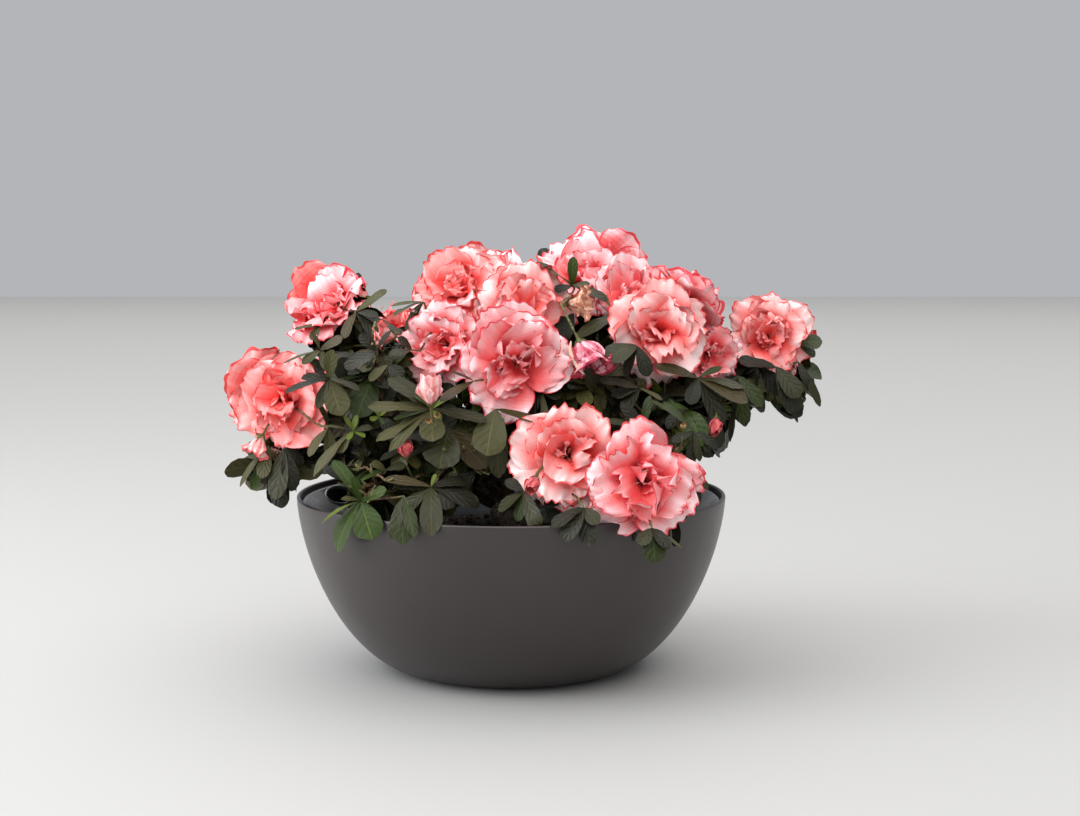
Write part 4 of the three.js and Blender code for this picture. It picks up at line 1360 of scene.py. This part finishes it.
def in_an_open_place(leaves):
    """Which leaves are seen, by their middle or their tip, in one of the open places."""
    found = np.zeros(len(leaves), dtype=bool)
    for part in (leaves[:, MIDDLE_ROW].mean(axis=1), leaves[:, -1].mean(axis=1)):
        place = in_picture(part)
        for number, (across, down, reach) in enumerate(OPEN_PLACES + DARK_PLACES):
            within = np.linalg.norm(place - (across, down), axis=-1) < reach
            found |= within & ((number < len(OPEN_PLACES)) | (part[:, 1] < 0))
    return found


def clear_of_the_pot(leaves):
    """Leaves pushed out of the bowl's wall: a corner below the rim and in the wall moves to 1.5 mm
    outside when its leaf reaches more than 4 mm over the rim, else to 1.5 mm inside, and one in the
    collar or the compost is lifted 1.5 mm above it."""
    radius = np.maximum(np.hypot(leaves[..., 0], leaves[..., 1]), 1e-6)
    height = leaves[..., 2]
    outer = belly_radius(np.clip(height, 0, BOWL_HEIGHT))
    low = height < BOWL_HEIGHT + RIM_MARGIN
    wall = low & (radius > outer - BOWL_WALL - POT_CLEARANCE) & (radius < outer + POT_CLEARANCE)
    outside = (radius.max(axis=(1, 2)) > BOWL_RADIUS + OVER_THE_RIM)[:, None, None]
    moved = np.where(wall & outside, outer + POT_CLEARANCE, radius)
    moved = np.where(wall & ~outside, outer - BOWL_WALL - POT_CLEARANCE, moved)
    leaves = leaves * np.stack([moved / radius, moved / radius, np.ones_like(moved)], axis=-1)
    collar = np.where(moved > WELL_RADIUS, WELL_HEIGHT + moved - WELL_RADIUS, soil_height(moved))
    collar = collar + POT_CLEARANCE
    within = moved < outer - BOWL_WALL
    leaves[..., 2] = np.where(within & (leaves[..., 2] < collar), collar, leaves[..., 2])
    return leaves


print("open and dark places", len(OPEN_PLACES), len(DARK_PLACES))

# %% All leaves
leaf_random = np.random.default_rng(73)
bearing = np.isin(shoot_kinds, [BLOOM, SEEDED])
shoot_green = leaf_random.choice(len(LEAF_GREENS), bearing.sum(), p=GREEN_SHARES)
leaf_values = whorl(shoot_tips[bearing], shoot_facings[bearing], shoot_kinds[bearing],
                    twig_lines[bearing], shoot_green, leaf_random)
leaf_green = leaf_values.pop()
leaf_mass = np.repeat(shoot_masses[bearing], WHORL_LEAVES + STEM_LEAVES)
leaves = leaf_grid(*leaf_values)
leaf_middles = leaves[:, MIDDLE_ROW].mean(axis=1)
leaf_ends = leaves[:, -1].mean(axis=1)
kept = ~near_a_bloom(leaf_middles) & ~near_a_bloom(leaf_ends)
kept &= ~hides_a_known_leaf(leaf_middles) & ~hides_a_known_leaf(leaf_ends) & ~in_an_open_place(leaves)
inside = in_the_pot(leaves[:, :, 2], -BOWL_WALL).any(axis=1)
beyond = np.hypot(leaf_ends[:, 0], leaf_ends[:, 1]) > BOWL_RADIUS + OVER_THE_RIM
kept &= ~(inside & beyond & (leaf_ends[:, 2] < BOWL_HEIGHT))
box_low, box_high = np.array(CAD_BOX[0]) - BOX_MARGIN, np.array(CAD_BOX[1]) + BOX_MARGIN
kept &= ((leaves > box_low) & (leaves < box_high)).all(axis=(1, 2, 3))
known = leaf_grid(*known_leaves(seen_bases, seen_tips, seen_widths, leaf_random))
known_mass = np.repeat([MASS_NAMES.index(mass) for mass in spray_masses], spray_sizes)
leaves = clear_of_the_pot(np.concatenate([leaves[kept], known]))
leaf_green = np.concatenate([leaf_green[kept], seen_greens])
leaf_mass = np.concatenate([leaf_mass[kept], known_mass])
print("leaves", len(leaves), "of which known", len(known), "left out", int((~kept).sum()))

# %% [markdown]
# ## The leaves' finish
# Old leaves are dark olive with a greyish satin sheen, because their skin is waxy and slightly hairy.
# Each green has a blade finish and a paler midrib finish, whose gloss varies with noise. The side veins
# are sunk into the blade, which bulges between them: a UV map gives each point its place on its own
# leaf, and the relief is a wave on that map. The leaves are joined into one piece for each region of
# the crown, and that piece takes the place of the region's plain masses.

# %% Leaf pieces
REGIONS = {
    "left": ["left_low", "left_hanging", "left_high", "left_middle", "left_rim"],
    "front": ["front_left", "front_middle", "front_right", "right_rim", "inner_right", "upper_left"],
    "top": ["top_left", "top"],
    "right": ["right_high", "right_far", "right_middle"],
    "back_left": ["back_left", "back", "back_rim_left"],
    "back_right": ["back_right", "back_rim_right"],
}
VEIN_PAIRS = 5.0
VEIN_SLANT = 0.34
VEIN_SHARE = 0.8
VEIN_STRAY = 0.9
RIB_COLUMN = 2


def add_step(tree, operation, first, second):
    """One step of arithmetic on a value, with a number or another value."""
    node = tree.nodes.new("ShaderNodeMath")
    node.operation = operation
    return feed(tree, node, {0: first, 1: second}).outputs["Value"]


def add_veins(tree):
    """The height of a leaf's blade between its side veins, 0 in a vein and 1 half-way to the next: the
    distance of pairs (along - slant |across|) + stray noise from the nearest whole number, doubled, to
    the power 0.4."""
    place = tree.nodes.new("ShaderNodeUVMap")
    place.uv_map = BLADE_MAP
    parts = feed(tree, tree.nodes.new("ShaderNodeSeparateXYZ"), {"Vector": place.outputs["UV"]})
    across = add_step(tree, "MULTIPLY", add_step(tree, "ABSOLUTE", parts.outputs["Y"], 0.0), VEIN_SLANT)
    along = add_step(tree, "SUBTRACT", parts.outputs["X"], across)
    stray = add_step(tree, "MULTIPLY", add_noise(tree, 110.0, 1.0), VEIN_STRAY)
    number = add_step(tree, "ADD", add_step(tree, "MULTIPLY", along, VEIN_PAIRS), stray)
    between = add_step(tree, "PINGPONG", number, 0.5)
    return add_step(tree, "POWER", add_step(tree, "MULTIPLY", between, 2.0), 0.4)


def leaf_finish(name, colour, roughness, veined=False):
    """A plain green with noise in its gloss and a fine relief, with side veins if they are asked for."""
    finish, tree, shader = new_finish(name, colour, roughness)
    vary_gloss(tree, shader, 160.0, roughness - 0.07, roughness + 0.08)
    height = add_noise(tree, 480.0, 4.0)
    if veined:
        height = add_step(tree, "ADD", height, add_step(tree, "MULTIPLY", add_veins(tree), VEIN_SHARE))
    add_bump(tree, shader, height, 0.5, 0.0007)
    feed(tree, shader, {"Specular IOR Level": 0.28, "Sheen Weight": 0.04, "Sheen Roughness": 0.5})
    return finish


leaf_finishes = []
for name, blade, rib in LEAF_GREENS:
    leaf_finishes += [leaf_finish(name, blade, 0.42, veined=True), leaf_finish(f"{name}_rib", rib, 0.5)]
leaf_columns = np.arange((len(LEAF_ROWS) - 1) * (len(LEAF_COLUMNS) - 1)) % (len(LEAF_COLUMNS) - 1)
leaf_map = np.stack(np.meshgrid(LEAF_ROWS, LEAF_COLUMNS, indexing="ij"), axis=-1).reshape(-1, 2)
for region, masses in REGIONS.items():
    chosen = np.isin(leaf_mass, [MASS_NAMES.index(mass) for mass in masses])
    count = int(chosen.sum())
    dealt = leaf_green[chosen][:, None] * 2 + (leaf_columns == RIB_COLUMN)
    piece = add_grids(f"leaves_{region}", leaves[chosen], leaf_finishes, dealt,
                      blade=np.tile(leaf_map, (count, 1)))
    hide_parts(*[f"mass_{mass}" for mass in masses])
    print("leaves", region, count, "faces", len(piece.data.polygons))

# %% [markdown]
# ## Petals
# A double azalea has six wide outer petals, a second ring that is almost as wide, and smaller and
# smaller ones that curl round the throat. Each petal is again a grid of two parameters: s from the claw
# to the margin and t across. Its middle line starts along the bloom's axis and opens outwards, so its
# angle grows, and the radius and the height are the sums of the sine and cosine of that angle. The
# corners are drawn back so that the margin is round, the blade is cupped, and the margin is frilled: a
# slow wave with a fine one on top, both strongest at the very edge. Petals that hang below the axis
# open wider than those above it.

# %% Petal shape
CROWDING = 1.25


def petal_rows(steps):
    """Steps from the claw to the margin that crowd towards the margin: 1 - (1 - x) ^ 1.25."""
    return 1 - (1 - np.linspace(0, 1, steps)) ** CROWDING


def petal_columns(steps):
    """Steps from edge to edge that crowd towards both: sin(1.25 x) / sin 1.25."""
    return np.sin(np.linspace(-1, 1, steps) * CROWDING) / math.sin(CROWDING)


FINE_ROWS, FINE_COLUMNS = petal_rows(18), petal_columns(29)
COARSE_ROWS, COARSE_COLUMNS = petal_rows(10), petal_columns(18)
CLAW_SHARE = 0.2
CLAW_RADIUS = 1.2 * MM
FRILL_WAVES = 0.62
FINE_TEETH, COARSE_TEETH = 0.016, 0.022
MARGIN_ROUNDING = 0.42


def petal_grid(rows, columns, throat, axis, outward, length, width, start, end, power, cup, ruffle,
               crumple, roll, curl, phases):
    """Petals (n, rows, columns, 3). The angle from the axis is a(s) = start + (end - start) s ^ power +
    curl s ^ 6. Radius and height sum sin a and cos a over s. The half width is g(s) = W / 2 (0.2 + 0.8
    sin(pi / 2 min(1, s / 0.7))). Off the middle line the blade is drawn back by
    0.42 L s^2 (1 - sqrt(1 - 0.94 t^2)), which rounds it, and raised by the cup, c g t^2, by waves along
    the margin, by crumples over the blade and by one crease along it, as high as its distance from a
    seeded t."""
    s = rows[None, :, None]
    t = columns[None, None, :]
    angle = start[:, None] + (end - start)[:, None] * rows**power + curl[:, None] * rows**6
    step = np.diff(rows)
    radius = np.zeros_like(angle)
    height = np.zeros_like(angle)
    radius[:, 1:] = np.cumsum((np.sin(angle[:, 1:]) + np.sin(angle[:, :-1])) / 2 * step, axis=-1)
    height[:, 1:] = np.cumsum((np.cos(angle[:, 1:]) + np.cos(angle[:, :-1])) / 2 * step, axis=-1)
    length, width, cup, ruffle, crumple, roll = (
        value[:, None, None] for value in (length, width, cup, ruffle, crumple, roll))
    phase = phases[:, :, None, None]
    frill = len(columns) * FRILL_WAVES
    half = width / 2 * (CLAW_SHARE + (1 - CLAW_SHARE) * np.sin(np.pi / 2 * np.minimum(1, s / 0.7)))
    x = half * t * (1 - 0.13 * s**6)
    teeth = FINE_TEETH * np.sin(frill * t + phase[:, 0])
    teeth = teeth + COARSE_TEETH * np.sin(0.5 * frill * t + phase[:, 1])
    back = length * (MARGIN_ROUNDING * (1 - np.sqrt(1 - 0.94 * t**2)) * s**2 - teeth * s**6)
    margin = s**2.6 * (0.35 + 0.65 * s**2) + 0.35 * t**4 * s
    waves = np.sin(4.4 * t + phase[:, 2]) + 0.55 * np.sin(0.5 * frill * t + phase[:, 3])
    waves = waves + 0.52 * s**3 * np.sin(frill * t + phase[:, 4])
    crumples = np.sin(5.5 * s + 1.6 * t + phase[:, 5]) * np.sin(3.2 * t - 2.0 * s + phase[:, 1])
    crumples = crumples + 0.35 * np.sin(9 * s - 2.5 * t + phase[:, 2]) * np.sin(6.5 * t + phase[:, 0])
    crease = np.sqrt((t - 0.6 * np.sin(phase[:, 3])) ** 2 + 0.01) * np.sin(phase[:, 4])
    crease = crease * np.sin(0.8 * np.pi * s)
    lift = cup * half * t**2 + ruffle * margin * waves + crumple * (crumples * s + 1.3 * crease)
    turned, level = np.sin(roll * s), np.cos(roll * s)
    x, lift = x * level - lift * turned, lift * level + x * turned
    across = np.cross(outward, axis)
    sine, cosine = np.sin(angle)[..., None], np.cos(angle)[..., None]
    out = CLAW_RADIUS + length * radius[..., None] - back * sine - lift * cosine
    rise = length * height[..., None] - back * cosine + lift * sine
    place = throat[:, None, None] + out[..., None] * outward[:, None, None]
    return place + rise[..., None] * axis[:, None, None] + x[..., None] * across[:, None, None]


print("points in a petal that the viewer sees", len(FINE_ROWS) * len(FINE_COLUMNS))

# %% Rings of petals
# Petals in the ring, length and width in bloom radii, angles at claw and margin, opening power, cup,
# ruffle and crumple in bloom radii, and tones at claw and margin
RINGS = [
    (6, 1.14, 1.18, 30, 96, 0.60, 0.02, 0.078, 0.050, 5.0, 20.5),
    (5, 1.02, 1.08, 22, 78, 0.65, 0.10, 0.095, 0.065, 4.6, 18.5),
    (5, 0.82, 0.86, 14, 60, 0.75, 0.16, 0.115, 0.085, 5.0, 17.0),
    (4, 0.58, 0.60, 8, 48, 0.90, 0.24, 0.130, 0.100, 6.4, 16.5),
]
CURL_DEGREES = 42
OPENING_STRAY = 9
MOST_STRAY = 14
HANGING_DEGREES = 14
FIRST_PETAL_STRAY = 0.32


def ring_of_petals(ring, throats, facings, radii, rows, columns, random):
    """One ring of petals on many blooms: its values from the table of rings, each with a little seeded
    change. The first outer petal points up, as an azalea's does, give or take 18 degrees, and each ring
    is turned half a petal from the one before it. The opening gains 14 degrees for a petal that points
    straight down and loses as much for one that points up."""
    number, length, width, start, end, power, cup, ruffle, crumple = RINGS[ring][:9]
    blooms = len(throats)
    petals = blooms * number
    size = np.repeat(radii, number)[:, None] * np.array([length, width, ruffle, crumple])
    size = size * random.uniform([0.90, 0.90, 0.6, 0.4], [1.06, 1.10, 1.3, 1.5], (petals, 4))
    u, v = around(facings, np.zeros(blooms)), around(facings, np.full(blooms, np.pi / 2))
    upwards = np.arctan2(v[:, 2], u[:, 2])
    upwards = upwards + random.uniform(-FIRST_PETAL_STRAY, FIRST_PETAL_STRAY, blooms)
    first = np.repeat(upwards, number) + ring * np.pi / number
    azimuth = first + np.tile(np.arange(number), blooms) * 2 * np.pi / number
    axis = unit(np.repeat(facings, number, axis=0) + random.normal(0, 0.07 + 0.05 * ring, (petals, 3)))
    outward = around(axis, azimuth + random.normal(0, 0.08 + 0.03 * ring, petals))
    change = np.clip(random.normal(0, OPENING_STRAY, petals), -MOST_STRAY, MOST_STRAY)
    opening = np.radians(end + change * (0.7 + 0.4 * ring) - HANGING_DEGREES * outward[:, 2])
    curl = np.radians(np.clip(random.normal(0.05, 0.6, petals), -0.7, 0.6) * CURL_DEGREES)
    return petal_grid(
        rows, columns, np.repeat(throats, number, axis=0), axis, outward, size[:, 0], size[:, 1],
        np.radians(start + random.normal(0, 3, petals)), opening, power,
        cup * random.uniform(-0.3, 1.6, petals), size[:, 2], size[:, 3],
        random.normal(0, 0.18, petals), curl, random.uniform(0, FULL_PHASE, (petals, 6)))


print("petals in a bloom", sum(ring[0] for ring in RINGS))

# %% [markdown]
# ## Petal colours
# The petals are coral at the throat and pale, almost white, towards the margin, which itself is a thin
# coral line, as if drawn with a wet brush. Two dozen plain colours are dealt over a petal's faces: a
# tone rises from the claw to the margin, with streaks along the veins and a little noise, and the last
# thin row of faces is the margin's own coral, which comes and goes. Every bloom takes one of two shades,
# warm or cool. The blooms of some masses are painted paler where light falls on them, which is painted
# light, and those of others deeper, which is painted shade.

# %% Petal finishes
TONES = 24
MARGIN_TONE = TONES
FEATHER_TONE = TONES + 1
CORAL_SHARE = 0.33
# Name, then the colours of the throat, of a third of the way out, of the pale zone and of the margin
SHADES = [("warm", (224, 56, 53), (252, 106, 101), (255, 226, 224), (236, 80, 79)),
          ("cool", (220, 54, 60), (250, 103, 105), (255, 224, 226), (232, 76, 86))]


def petal_finish(name, colour):
    """A plain, silky petal colour: a gloss that noise varies, a fine crepe relief and a little sheen."""
    finish, tree, shader = new_finish(name, colour, 0.55)
    vary_gloss(tree, shader, 240.0, 0.48, 0.64)
    add_bump(tree, shader, add_noise(tree, 420.0, 4.0), 0.45, 0.0006)
    feed(tree, shader, {"Specular IOR Level": 0.3, "Sheen Weight": 0.2, "Sheen Roughness": 0.4})
    return finish


def shade_finishes(name, deep, coral, pale, margin):
    """Finishes from deep through coral to pale, the coral a third of the way up, then the margin's and a
    feathered one half-way between it and the pale."""
    knots = np.array([deep, coral, pale], dtype=float)
    share = np.linspace(0, 1, TONES)
    steps = [np.interp(share, [0, CORAL_SHARE, 1], knots[:, channel]) for channel in range(3)]
    colours = np.stack(steps, axis=-1).tolist()
    colours += [list(margin), ((np.array(margin) + np.array(pale)) / 2).tolist()]
    return [petal_finish(f"petal_{name}_{tone}", paint(*colour)) for tone, colour in enumerate(colours)]


petal_finishes = [finish for shade in SHADES for finish in shade_finishes(*shade)]
print("petal finishes", len(petal_finishes))

# %% Dealing the colours
RISE_START = 0.34
RISE_LENGTH = 0.60
PATCH_SIZE = 22 * MM
PATCH_TONES = 3.4
NOISE_TONES = 0.3
LEAN_TONES = 2.0
SIDE_START = 0.45
FEATHER_LEVEL = 0.55
MARGIN_GAP_LEVEL = -1.35


def deal_tones(petals, claw_tone, rim_tone, rows, columns, shade, random):
    """The finish of each face (n, rows - 1, columns - 1): tone = claw + (rim - claw) smooth(s) + streaks
    along the veins + soft patches + noise + lean s, rounded to the nearest tone. The last row and the
    outermost columns, from 0.45 on, are margin where a slow wave along the petal allows it, and the row
    before is feathered into it here and there."""
    middles = (petals[:, 1:, 1:] + petals[:, :-1, :-1]) / 2
    s = ((rows[1:] + rows[:-1]) / 2)[None, :, None]
    t = ((columns[1:] + columns[:-1]) / 2)[None, None, :]
    count = len(petals)
    phase = random.uniform(0, FULL_PHASE, (3, count, 1, 1))
    rise = np.clip((s - RISE_START + 0.06 * np.sin(6 * t + phase[0])) / RISE_LENGTH, 0, 1)
    rise = rise * rise * (3 - 2 * rise)
    streaks = 1.1 * np.sin(8.5 * t + phase[1]) + 0.7 * np.sin(23 * t + 3 * s + phase[2])
    patches = PATCH_TONES * uneven(middles, PATCH_SIZE, 9, 2)
    noise = random.uniform(-NOISE_TONES, NOISE_TONES, middles.shape[:-1])
    lean = random.normal(0, LEAN_TONES, (count, 1, 1))
    tone = claw_tone[:, None, None] + (rim_tone - claw_tone)[:, None, None] * rise
    tone = tone + streaks * (0.25 + 0.75 * s) + patches + noise + lean * s
    tone = np.clip(np.round(tone), 0, TONES - 1).astype(int)
    line = np.sin(3.1 * t + phase[2]) + np.sin(7.7 * t - phase[0]) + random.normal(0, 0.5, tone.shape)
    row = np.arange(len(rows) - 1)[None, :, None]
    column = np.arange(len(columns) - 1)[None, None, :]
    last = row >= len(rows) - 2
    side = ((column == 0) | (column == len(columns) - 2)) & (s > SIDE_START)
    tone[(row == len(rows) - 3) & (line > FEATHER_LEVEL)] = FEATHER_TONE
    tone[(last | side) & (line > MARGIN_GAP_LEVEL)] = MARGIN_TONE
    tone[(last | side) & (line <= MARGIN_GAP_LEVEL)] = FEATHER_TONE
    return tone + (TONES + 2) * shade[:, None, None]


print("a petal has faces", (len(FINE_ROWS) - 1) * (len(FINE_COLUMNS) - 1), "or",
      (len(COARSE_ROWS) - 1) * (len(COARSE_COLUMNS) - 1))

# %% Blooms
# The share of a mass's painted light and shade that the claws take
CLAW_PAINTED_LIGHT_SHARE = 0.4
GROUP_BORDER = 20 * MM
# Tones that a mass's blooms are painted paler by, as painted light; a negative value paints them deeper,
# as painted shade
PAINTED_LIGHT_TONES = {"left_low": -3.0, "left_high": -1.6, "top_left": 1.4, "top": 1.4, "right_far": 1.2,
         "right_high": 0.8, "upper_left": 1.6, "front_middle": 2.2, "front_right": 1.0}

seen = np.arange(len(bloom_masses)) < len(SEEN_BLOOMS)
petal_random = np.random.default_rng(97)
bloom_shade = petal_random.integers(0, 2, len(bloom_masses))
# Each bloom's painted light in tones, from its mass; a negative value is painted shade
bloom_painted_light = np.array([PAINTED_LIGHT_TONES.get(mass, 0.0) for mass in bloom_masses])
left_half = bloom_middles[:, 0] < GROUP_BORDER
BLOOM_GROUPS = [("seen_left", seen & left_half, FINE_ROWS, FINE_COLUMNS),
                ("seen_right", seen & ~left_half, FINE_ROWS, FINE_COLUMNS),
                ("unseen", ~seen, COARSE_ROWS, COARSE_COLUMNS)]
for group, chosen, rows, columns in BLOOM_GROUPS:
    grids, tones = [], []
    for ring in range(len(RINGS)):
        petals = ring_of_petals(ring, bloom_throats[chosen], bloom_facings[chosen], bloom_radii[chosen],
                                rows, columns, petal_random)
        shade = np.repeat(bloom_shade[chosen], RINGS[ring][0])
        painted_light = np.repeat(bloom_painted_light[chosen], RINGS[ring][0])
        # The claws take part of the painted light and shade, and the margins take all of it
        claw_tone, rim_tone = RINGS[ring][-2] + CLAW_PAINTED_LIGHT_SHARE * painted_light, RINGS[ring][-1] + painted_light
        grids.append(petals)
        tones.append(deal_tones(petals, claw_tone, rim_tone, rows, columns, shade, petal_random))
    piece = add_grids(f"blossom_{group}", np.concatenate(grids), petal_finishes, np.concatenate(tones))
    print("blossom", group, "petals", sum(map(len, grids)), "faces", len(piece.data.polygons))

# %% [markdown]
# ## Stamens
# In a double bloom most stamens have turned into petals. The few that are left stand deep in the
# throat: short pink filaments, each with a small tan anther, and a style a little longer. Each is a thin
# tube along a line that leaves the axis as the square of the way along it, and swells into the anther.

# %% Stamens
FILAMENTS = 4
FILAMENT_SIDES = 5
FILAMENT_RADIUS = 0.34
ANTHER_START = 4
STYLE_LONGER = 1.25
FILAMENT_SWELL = np.array([1.0, 0.9, 0.8, 0.8, 0.8, 1.9, 2.0, 0.3])
FILAMENT_PLACES = np.array([0.0, 0.25, 0.5, 0.75, 0.93, 0.95, 0.99, 1.0])
filament_random = np.random.default_rng(61)
axis = np.repeat(bloom_facings, FILAMENTS, axis=0)
outward = around(axis, filament_random.uniform(0, FULL_PHASE, len(axis)))
reach = np.repeat(bloom_radii, FILAMENTS) * filament_random.uniform(0.34, 0.52, len(axis))
reach[::FILAMENTS] *= STYLE_LONGER
spread = filament_random.uniform(0.12, 0.42, len(axis))
share = FILAMENT_PLACES[None, :, None]
filament_lines = np.repeat(bloom_throats, FILAMENTS, axis=0)[:, None] + reach[:, None, None] * (
    share * axis[:, None] + (spread[:, None, None] * share**2) * outward[:, None])
filament_radii = np.broadcast_to(FILAMENT_SWELL * FILAMENT_RADIUS * MM, filament_lines.shape[:2])
filament_rings = rings_about(filament_lines, filament_radii, FILAMENT_SIDES)
filament_kind = np.zeros((len(axis), len(FILAMENT_PLACES) - 1, FILAMENT_SIDES), dtype=int)
filament_kind[:, ANTHER_START:] = 1
add_grids("stamens", filament_rings, [petal_finish("filament_pink", paint(246, 170, 158)),
                                      petal_finish("anther_tan", paint(166, 104, 74))],
          filament_kind, wrap=True)
print("stamens", len(axis))

# %% [markdown]
# ## Stalks and sepals
# A bloom or bud sits on a short green-brown stalk that swells into a cup with five small pointed sepals.
# The stalk is a tube from the shoot's tip to the claws, and the sepals come from the petals' own
# function with other numbers, so they clasp the claws.

# %% Stalks and sepals
STALK_STEPS = 7
STALK_SIDES = 8
STALK_INTO_CUP = 1.5 * MM
WHOLE_BUD = 18
SEPALS, BUD_PETALS = 5, 5
SEPAL_LENGTHS = (5, 8)
SEPAL_WIDTH = 3.2
SEPAL_OPENING = (0.9, 0.5)
SEPAL_CUP = 0.5
SEPAL_ROWS = np.array([0.0, 0.35, 0.7, 1.0])
SEPAL_COLUMNS = np.array([-1.0, -0.4, 0.4, 1.0])


def evenly_round(axes, number, random):
    """Every axis repeated by a number of petals, and their angles round it: i / number of a turn from a
    seeded first one."""
    azimuth = np.tile(np.arange(number), len(axes)) * 2 * np.pi / number
    return np.repeat(axes, number, axis=0), azimuth + np.repeat(random.uniform(0, 6, len(axes)), number)


stalk_starts = np.concatenate([bloom_shoots, bud_shoots])
stalk_ends = np.concatenate([bloom_throats, bud_claws])
stalk_facings = np.concatenate([bloom_facings, bud_facings])
bud_size = [min(1.0, BUD_KINDS[kind][0] / WHOLE_BUD) for kind in bud_kinds]
stalk_size = np.concatenate([np.ones(len(bloom_radii)), bud_size])
share = np.linspace(0, 1, STALK_STEPS)
stalk_reach = stalk_ends - stalk_starts + STALK_INTO_CUP * stalk_facings
stalk_lines = stalk_starts[:, None] + share[:, None] * stalk_reach[:, None]
stalk_radii = stalk_size[:, None] * (0.8 + 1.1 * share**3) * MM
add_grids("stalks", rings_about(stalk_lines, stalk_radii, STALK_SIDES),
          [leaf_finish("stalk_green", paint(92, 88, 48), 0.55)], wrap=True)
sepal_random = np.random.default_rng(29)
axis, azimuth = evenly_round(stalk_facings, SEPALS, sepal_random)
count = len(axis)
size = np.repeat(stalk_size, SEPALS)
flat = np.zeros(count)
sepal_claws = np.repeat(stalk_ends - STALK_INTO_CUP * stalk_facings, SEPALS, axis=0)
sepals = petal_grid(SEPAL_ROWS, SEPAL_COLUMNS, sepal_claws, axis, around(axis, azimuth),
                    size * sepal_random.uniform(*SEPAL_LENGTHS, count) * MM, size * SEPAL_WIDTH * MM,
                    flat + SEPAL_OPENING[0], flat + SEPAL_OPENING[1], 1.0, flat + SEPAL_CUP,
                    flat, flat, flat, flat, np.zeros((count, 6)))
add_grids("sepals", sepals, [leaf_finish("sepal_green", paint(84, 96, 44), 0.5)])
print("stalks", len(stalk_lines), "sepals", count)

# %% [markdown]
# ## Buds and spent petals
# A bud is five petals from the same function again, wrapped over one another by a strong cup, with an
# angle from the axis that falls below zero so that they close at the tip. The bloom that has gone over
# is a narrow, crumpled trumpet of magenta, and the dried one a tan rag. Each kind has five plain
# colours between a dark and a light one, dealt in streaks.

# %% Buds
BUD_COLOURS = {
    "pink_bud": ((238, 124, 122), (252, 208, 206)),
    "red_bud": ((168, 50, 58), (222, 110, 108)),
    "scale_bud": ((122, 84, 48), (190, 152, 100)),
    "gone_over": ((164, 28, 56), (250, 186, 196)),
    "dried": ((188, 122, 92), (250, 214, 192)),
    "stray_petals": ((238, 108, 106), (252, 212, 208)),
}
BUD_TONES = 5
CLOSED_CUP, OPEN_CUP = 0.62, 0.45
BUD_PATCH_SIZE = 9 * MM
bud_finishes = []
for kind, (dark, light) in BUD_COLOURS.items():
    for tone in range(BUD_TONES):
        mixed = np.array(dark) + (np.array(light) - np.array(dark)) * tone / (BUD_TONES - 1)
        bud_finishes.append(petal_finish(f"{kind}_{tone}", paint(*mixed.tolist())))
bud_random = np.random.default_rng(83)
axis, azimuth = evenly_round(bud_facings, BUD_PETALS, bud_random)
count = len(axis)
azimuth = azimuth + bud_random.normal(0, 0.15, count)
bud_numbers = np.repeat(np.array([BUD_KINDS[kind] for kind in bud_kinds]), BUD_PETALS, axis=0)
closed = bud_numbers[:, 3] < 0
bud_length = bud_numbers[:, 0] * MM * bud_random.uniform(0.86, 1.04, count)
bud_opening = np.radians(bud_numbers[:, 3] + bud_random.normal(0, 4, count))
bud_petals = petal_grid(
    COARSE_ROWS, COARSE_COLUMNS, np.repeat(bud_claws, BUD_PETALS, axis=0), axis, around(axis, azimuth),
    bud_length, bud_numbers[:, 1] * MM, np.radians(bud_numbers[:, 2]), bud_opening, 1.0,
    np.where(closed, CLOSED_CUP, OPEN_CUP), bud_numbers[:, 4] * MM * np.where(closed, 0.5, 1.0),
    bud_numbers[:, 4] * MM, bud_random.normal(0, 0.12, count), np.zeros(count),
    bud_random.uniform(0, FULL_PHASE, (count, 6)))
middles = (bud_petals[:, 1:, 1:] + bud_petals[:, :-1, :-1]) / 2
streak = np.sin(9 * COARSE_COLUMNS[1:] + bud_random.uniform(0, FULL_PHASE, (count, 1, 1)))
tone = 2.4 + 1.5 * streak + 1.2 * uneven(middles, BUD_PATCH_SIZE, 12, 2)
tone = tone + bud_random.uniform(-0.8, 0.8, middles.shape[:-1])
tone = np.clip(np.round(tone), 0, BUD_TONES - 1).astype(int)
tone[:, -1] = np.where(closed[:, None], tone[:, -1], 0)
kind_place = np.repeat([list(BUD_COLOURS).index(kind) for kind in bud_kinds], BUD_PETALS)
buds = add_grids("buds", bud_petals, bud_finishes, tone + BUD_TONES * kind_place[:, None, None])
print("buds", len(bud_kinds), "faces", len(buds.data.polygons))

# %% [markdown]
# ## A curled petal
# Beside the bloom that has gone over hangs one petal that has rolled itself into a pale strip: a thin
# tube along a curve in front of that bloom.

# %% Curled petal
CURL_PATH = [(571, 341), (570, 350), (573, 359), (577, 367), (584, 374)]
CURL_DEPTH = -88
CURL_STEPS = 16
CURL_SIDES = 8
curl_knots = np.array([at_pixel(across, down, CURL_DEPTH * MM) for across, down in CURL_PATH])
curl_line = smooth_path(curl_knots[None], CURL_STEPS)
curl_radii = (0.35 + 0.85 * np.sin(np.linspace(0, np.pi, CURL_STEPS)) ** 0.7)[None] * MM
curled = add_grids("curled_petal", rings_about(curl_line, curl_radii, CURL_SIDES),
                   [petal_finish("curled_pale", paint(250, 216, 190))], wrap=True)
print("curled petal faces", len(curled.data.polygons))

# %% [markdown]
# ## The size
# The dressed plant's box is set beside the measured one, and how far it stands beyond it on each side is
# printed. The dressed plant may stand only a little proud of the measured box.

# %% Sizes and the last line
boxes = {"cad": CAD_BOX, "visual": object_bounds()}
for low, high, cad_low, cad_high in zip(*boxes["visual"], *CAD_BOX):
    print("beyond the box in mm", round((cad_low - low) / MM, 1), round((high - cad_high) / MM, 1))
